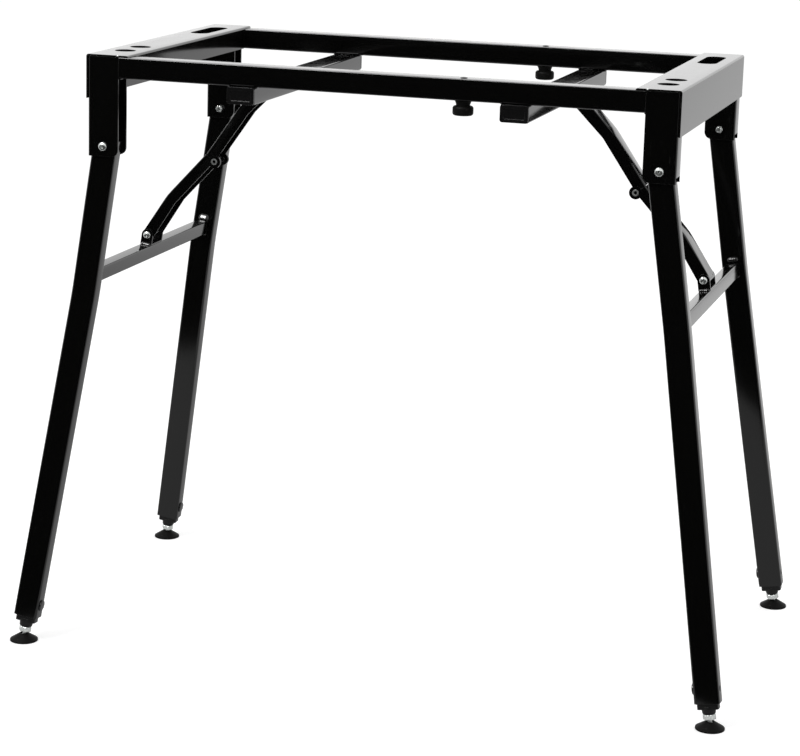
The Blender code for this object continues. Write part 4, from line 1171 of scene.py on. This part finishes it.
def leg_welds(side):
    """Beads above and below the bar where it meets both legs, and at the feet of its clevis."""
    size = details().weld_radius
    half_bar = LEG_BAR[0] / 2 - BEAD_INSET
    half_gap = LOWER_LINK_WIDTH / 2 + SIDE_PLAY + CLEVIS_SHEET
    foot = Matrix.Translation(side.lower_pivot) @ side.turn
    up = side.turn @ Vector((0, 0, 1))
    for end, way in ENDS:
        face = way * (LEG_Y - LEG_SECTION[1] / 2)
        upper = ("upper", side.bar_at - UPPER_BEAD_RISE, UPPER_BEAD_OUT, *side.upper_bead)
        under = ("under", side.bar_at + LEG_BAR[1], 0, *UNDER_BEAD)
        for where, down, off, share, lift in (upper, under):
            ends = [side.on_leg(down, across, face - way * off) for across in (-half_bar, half_bar)]
            lean = up * 0.5 - Vector((0, way, 0))
            weld(f"{side.name}_{end}_{where}_bar_weld", *ends, lean, share * size, side.legs, 3 + way, lift)
        rise = FOOT_BEAD_RISE - CLEVIS_RISE
        ends = [foot @ Vector((x, way * half_gap, rise)) for x in (-half_bar, half_bar)]
        weld(f"{side.name}_foot_clevis_{end}_weld", *ends, up, FOOT_BEAD * size, side.legs, 7 + way)


def frame_welds(side):
    """Beads under the rails and along the top clevis, and a drop of bright zinc in the corner's relief notch,
    whose pale metal is a painted glint.
    """
    size = details().weld_radius * FRAME_BEAD
    low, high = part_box(f"{side.name}_cross_bar")
    under = RAIL_TOP - RAIL_SIDE
    corner = side.sign * (FRAME_LENGTH / 2 - RAIL_INSET)
    half_gap = UPPER_LINK_WIDTH / 2 + SIDE_PLAY + CLEVIS_SHEET
    bar_face = high.x if side.sign > 0 else low.x
    for end, way in ENDS:
        middle = way * (FRAME_DEPTH - RAIL_SIDE) / 2
        for face, x in (("inner", low.x), ("outer", high.x), ("bracket", corner)):
            ends = [Vector((x, middle + reach, under)) for reach in (-RAIL_BEAD_REACH, RAIL_BEAD_REACH)]
            weld(f"{side.name}_rail_{end}_{face}_weld", *ends, (0, 0, -1), size, "frame", 11 + way)
        ends = [Vector((bar_face, way * half_gap, side.top_pivot.z + rise))
                for rise in (-CLEVIS_BEAD_REACH, CLEVIS_BEAD_REACH)]
        weld(f"{side.name}_top_clevis_{end}_weld", *ends, (0, way, 0), size, "frame", 17 + way)
    # The bare zinc drop on the black frame is a painted glint in the corner's relief notch.
    back, down = NOTCH_DROP_INSET
    notch = side.sign * (FRAME_LENGTH / 2 - RAIL_INSET + RELIEF / 2)
    place = Matrix.Translation((notch, back - FRAME_DEPTH / 2, TOP_HEIGHT - down))
    shape = turned([(0, -NOTCH_DROP_ROOT)] + dome(NOTCH_DROP, NOTCH_DROP, 0, 6), 16)
    piece(f"{side.name}_notch_drop", shape, "zinc", "frame", place)


# Studio

def camera():
    """The camera at the photograph's angle."""
    data = bpy.data.cameras.new("view")
    data.sensor_fit = "HORIZONTAL"
    data.sensor_width = 36
    data.lens = bpy.context.scene.stand_studio.lens
    data.shift_x, data.shift_y = CAMERA_SHIFT
    data.clip_start = 0.05
    data.clip_end = 60
    eye = bpy.data.objects.new("view", data)
    bpy.context.scene.collection.objects.link(eye)
    look = Matrix.Rotation(CAMERA_YAW, 4, "Z")
    look = look @ Matrix.Rotation(CAMERA_PITCH, 4, "X") @ Matrix.Rotation(CAMERA_ROLL, 4, "Y")
    # A camera looks along its own -Z, and this turn lays that along Y
    eye.matrix_world = Matrix.Translation(CAMERA_PLACE) @ look @ Z_TO_MINUS_Y
    bpy.context.scene.camera = eye


def seen_directly(tree, camera=1.0, gloss=1.0):
    """These values for rays from the camera, and from gloss or glass, and 0 for those that light things."""
    straight, glossy, through = (Wire.make(tree, "ShaderNodeLightPath", output=name)
                                 for name in ("Is Camera Ray", "Is Glossy Ray", "Is Transmission Ray"))
    return straight * camera + (glossy + through).clamped() * gloss


def white_room():
    """An even pale room that is seen as white and lights things more softly."""
    settings = bpy.context.scene.stand_studio
    world = bpy.data.worlds.new("white_room")
    bpy.context.scene.world = world
    world.use_nodes = True
    tree = world.node_tree
    background = tree.nodes["Background"]
    background.inputs["Color"].default_value = (1, 1, 1, 1)
    seen = seen_directly(tree).clamped()
    level = seen * (1 - settings.room_light) + settings.room_light
    tree.links.new(level.socket, background.inputs["Strength"])


def floor():
    """The floor: its own pale colour with the stand's shadow, lifted to white where it is seen."""
    settings = bpy.context.scene.stand_studio
    shape = bmesh.new()
    bmesh.ops.create_circle(shape, cap_ends=True, segments=96, radius=14)
    ground = loose_object("studio_floor", shape, Matrix())
    look = bpy.data.materials.new("studio_floor")
    look.use_nodes = True
    tree = look.node_tree
    shader = tree.nodes["Principled BSDF"]
    shader.inputs["Base Color"].default_value = (*settings.floor_colour, 1)
    shader.inputs["Roughness"].default_value = 0.9
    shader.inputs["Specular IOR Level"].default_value = 0.0
    shader.inputs["Emission Color"].default_value = (1, 1, 1, 1)
    shader.inputs["Emission Strength"].default_value = 0.0
    lift = tree.nodes.new("ShaderNodeEmission")
    lift.inputs["Color"].default_value = (1, 1, 1, 1)
    tree.links.new(seen_directly(tree, 0.42, 0.2).socket, lift.inputs["Strength"])
    both = tree.nodes.new("ShaderNodeAddShader")
    tree.links.new(shader.outputs[0], both.inputs[0])
    tree.links.new(lift.outputs[0], both.inputs[1])
    tree.links.new(both.outputs[0], tree.nodes["Material Output"].inputs["Surface"])
    ground.data.materials.append(look)


def gloss_card(name, shape, place, level, middle=1.0):
    """A card that is seen only in gloss, as a photographer sets one beside glossy paint.

    level is its brightness, and middle is the share of it that is left round the card's middle, a painted shade
    that dims the floor's reflection near the stand."""
    card = loose_object(name, shape, place)
    look = bpy.data.materials.new(name)
    look.use_nodes = True
    tree = look.node_tree
    shader = tree.nodes["Principled BSDF"]
    shader.inputs["Base Color"].default_value = (0.002, 0.002, 0.002, 1)
    shader.inputs["Roughness"].default_value = 1.0
    shader.inputs["Specular IOR Level"].default_value = 0.0
    shader.inputs["Emission Color"].default_value = (1, 1, 1, 1)
    shader.inputs["Emission Strength"].default_value = level
    # A middle below 1 paints shade: the card is dimmer round the stand, darkening the floor's reflection there.
    if middle < 1:
        spot = Wire.make(tree, "ShaderNodeTexCoord", output="Object")
        away = Wire.make(tree, "ShaderNodeVectorMath", {"operation": "LENGTH"}, {0: spot}, "Value")
        share = away.between(0.7, 2.6) * (1 - middle) + middle
        tree.links.new(share.socket, shader.inputs["Emission Color"])
    card.data.materials.append(look)
    card.visible_camera = False
    card.visible_diffuse = False
    card.visible_transmission = False
    card.visible_volume_scatter = False
    card.visible_shadow = False


def aimed(place):
    """The turn that points a lamp or a card at this place at the stand."""
    return (Vector(LAMP_AIM) - Vector(place)).to_track_quat("-Z", "Y")


def gloss_cards():
    """Black in front of the stand, grey on the floor with painted shade in its reflection round the stand, bright
    above the front and pale far behind.
    """
    shape = bmesh.new()
    rows = [(-0.42, 0.002), (-2.6, 0.002), (-2.6, 1.35)]
    lines = [[shape.verts.new((x, y, z)) for x in (-4, 4)] for y, z in rows]
    for low, high in zip(lines, lines[1:]):
        shape.faces.new((low[0], low[1], high[1], high[0]))
    gloss_card("black_card", shape, Matrix(), 0.0)
    shape = bmesh.new()
    bmesh.ops.create_circle(shape, cap_ends=True, segments=64, radius=4)
    # The grey card's dim middle is painted shade in the floor's reflection round the stand.
    gloss_card("grey_card", shape, Matrix.Translation((0, 0, 0.001)), 1.0, middle=0.55)
    shape = bmesh.new()
    bmesh.ops.create_grid(shape, x_segments=1, y_segments=1, size=0.9)
    turn = aimed(MAIN_LAMP_PLACE).to_matrix().to_4x4()
    gloss_card("bright_card", shape, Matrix.Translation(MAIN_LAMP_PLACE) @ turn, 22.0)
    shape = box((14, 0.01, 3.0), (0, 0, 0))
    gloss_card("back_card", shape, Matrix.Translation((0, 7, 2.4)), 1.3)


def lamp(name, place, side, power):
    """A square soft lamp, which gloss doesn't show."""
    data = bpy.data.lights.new(name, "AREA")
    data.shape = "RECTANGLE"
    data.size = data.size_y = side
    data.energy = power
    light = bpy.data.objects.new(name, data)
    bpy.context.scene.collection.objects.link(light)
    light.location = place
    light.rotation_euler = aimed(place).to_euler()
    light.visible_camera = False
    light.visible_glossy = False


# Operators

class STAND_OT_carried_nodes(bpy.types.Operator):
    """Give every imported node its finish, in case it shows"""
    bl_idname = "stand.carried_nodes"
    bl_label = "Carried nodes"
    bl_options = {"REGISTER", "UNDO"}

    def execute(self, context):
        looks = {slot: look for look, slot in reversed(list(finishes().values()))}
        for part in frame["record"]["subparts"]:
            node = frame["nodes"][part["node"]]
            node.data.materials.clear()
            node.data.materials.append(looks[part["material_slot"]])
        return {"FINISHED"}


class STAND_OT_top_frame(bpy.types.Operator):
    """Make the end plates, rails, cross bars and their caps"""
    bl_idname = "stand.top_frame"
    bl_label = "Top frame"
    bl_options = {"REGISTER", "UNDO"}

    def execute(self, context):
        for end, way in ENDS:
            rail(end, way)
        for side in SIDES:
            end_piece(side)
            cross_bar(side)
        return {"FINISHED"}


class STAND_OT_bumpers(bpy.types.Operator):
    """Make the rubber bumpers and their screws"""
    bl_idname = "stand.bumpers"
    bl_label = "Bumpers"
    bl_options = {"REGISTER", "UNDO"}

    def execute(self, context):
        for end, _ in ENDS:
            bumper(end)
        return {"FINISHED"}


class STAND_OT_brackets(bpy.types.Operator):
    """Make the corner brackets and the legs' hinge bolts"""
    bl_idname = "stand.brackets"
    bl_label = "Brackets and bolts"
    bl_options = {"REGISTER", "UNDO"}

    def execute(self, context):
        for side in SIDES:
            for end, way in ENDS:
                corner_bracket(side, end, way)
                pivot_bolt(side, end, way)
        return {"FINISHED"}


class STAND_OT_legs(bpy.types.Operator):
    """Make the legs and the bars between them"""
    bl_idname = "stand.legs"
    bl_label = "Legs"
    bl_options = {"REGISTER", "UNDO"}

    def execute(self, context):
        for side in SIDES:
            leg_bar(side)
            for end, way in ENDS:
                leg(side, end, way)
        return {"FINISHED"}


class STAND_OT_braces(bpy.types.Operator):
    """Make the folding braces with their clevises, bolts and rivets"""
    bl_idname = "stand.braces"
    bl_label = "Braces"
    bl_options = {"REGISTER", "UNDO"}

    def execute(self, context):
        for side in SIDES:
            brace(side)
        return {"FINISHED"}


class STAND_OT_feet(bpy.types.Operator):
    """Make the leg plugs, levelling screws and pads"""
    bl_idname = "stand.feet"
    bl_label = "Feet"
    bl_options = {"REGISTER", "UNDO"}

    def execute(self, context):
        for side in SIDES:
            for end, way in ENDS:
                leg_plug(side, end, way)
                plug_fixing(side, end, way)
                foot_stud(side, end, way)
                foot_pad(side, end)
        return {"FINISHED"}


class STAND_OT_welds(bpy.types.Operator):
    """Lay the weld beads"""
    bl_idname = "stand.welds"
    bl_label = "Welds"
    bl_options = {"REGISTER", "UNDO"}

    def execute(self, context):
        for side in SIDES:
            leg_welds(side)
            frame_welds(side)
        return {"FINISHED"}


class STAND_OT_stage(bpy.types.Operator):
    """Set up the camera, the room, the floor and the lamps"""
    bl_idname = "stand.stage"
    bl_label = "Stage"
    bl_options = {"REGISTER", "UNDO"}

    def execute(self, context):
        power = context.scene.stand_studio.lamp_power
        context.scene.view_settings.view_transform = "Standard"
        camera()
        white_room()
        floor()
        gloss_cards()
        lamp("main_soft_lamp", MAIN_LAMP_PLACE, 1.0, power)
        lamp("rear_soft_lamp", REAR_LAMP_PLACE, 1.4, power * 0.6)
        return {"FINISHED"}


class STAND_PT_panel(bpy.types.Panel):
    """The stand's steps and settings"""
    bl_label = "Keyboard stand"
    bl_idname = "STAND_PT_panel"
    bl_space_type = "VIEW_3D"
    bl_region_type = "UI"
    bl_category = "Stand"

    def draw(self, context):
        layout = self.layout
        for step in STEPS:
            layout.operator(step.bl_idname)
        scene = context.scene
        for group in (scene.stand_finishes, scene.stand_details, scene.stand_studio):
            rows = layout.box()
            for name in group.__annotations__:
                rows.prop(group, name)


STEPS = (STAND_OT_carried_nodes, STAND_OT_top_frame, STAND_OT_bumpers, STAND_OT_brackets, STAND_OT_legs,
         STAND_OT_braces, STAND_OT_feet, STAND_OT_welds, STAND_OT_stage)
GROUPS = (StandFinishes, StandDetails, StandStudio)


def register():
    """Makes the settings, the steps and the panel known to Blender."""
    for made in GROUPS + STEPS + (STAND_PT_panel,):
        bpy.utils.register_class(made)
    bpy.types.Scene.stand_finishes = PointerProperty(type=StandFinishes)
    bpy.types.Scene.stand_details = PointerProperty(type=StandDetails)
    bpy.types.Scene.stand_studio = PointerProperty(type=StandStudio)


def unregister():
    """Takes back what register did."""
    del bpy.types.Scene.stand_finishes
    del bpy.types.Scene.stand_details
    del bpy.types.Scene.stand_studio
    for made in reversed(GROUPS + STEPS + (STAND_PT_panel,)):
        bpy.utils.unregister_class(made)


def main():
    """Makes the add-on known to Blender and runs every step."""
    register()
    for step in STEPS:
        group, name = step.bl_idname.split(".")
        getattr(getattr(bpy.ops, group), name)()


if __name__ == "__main__":
    main()
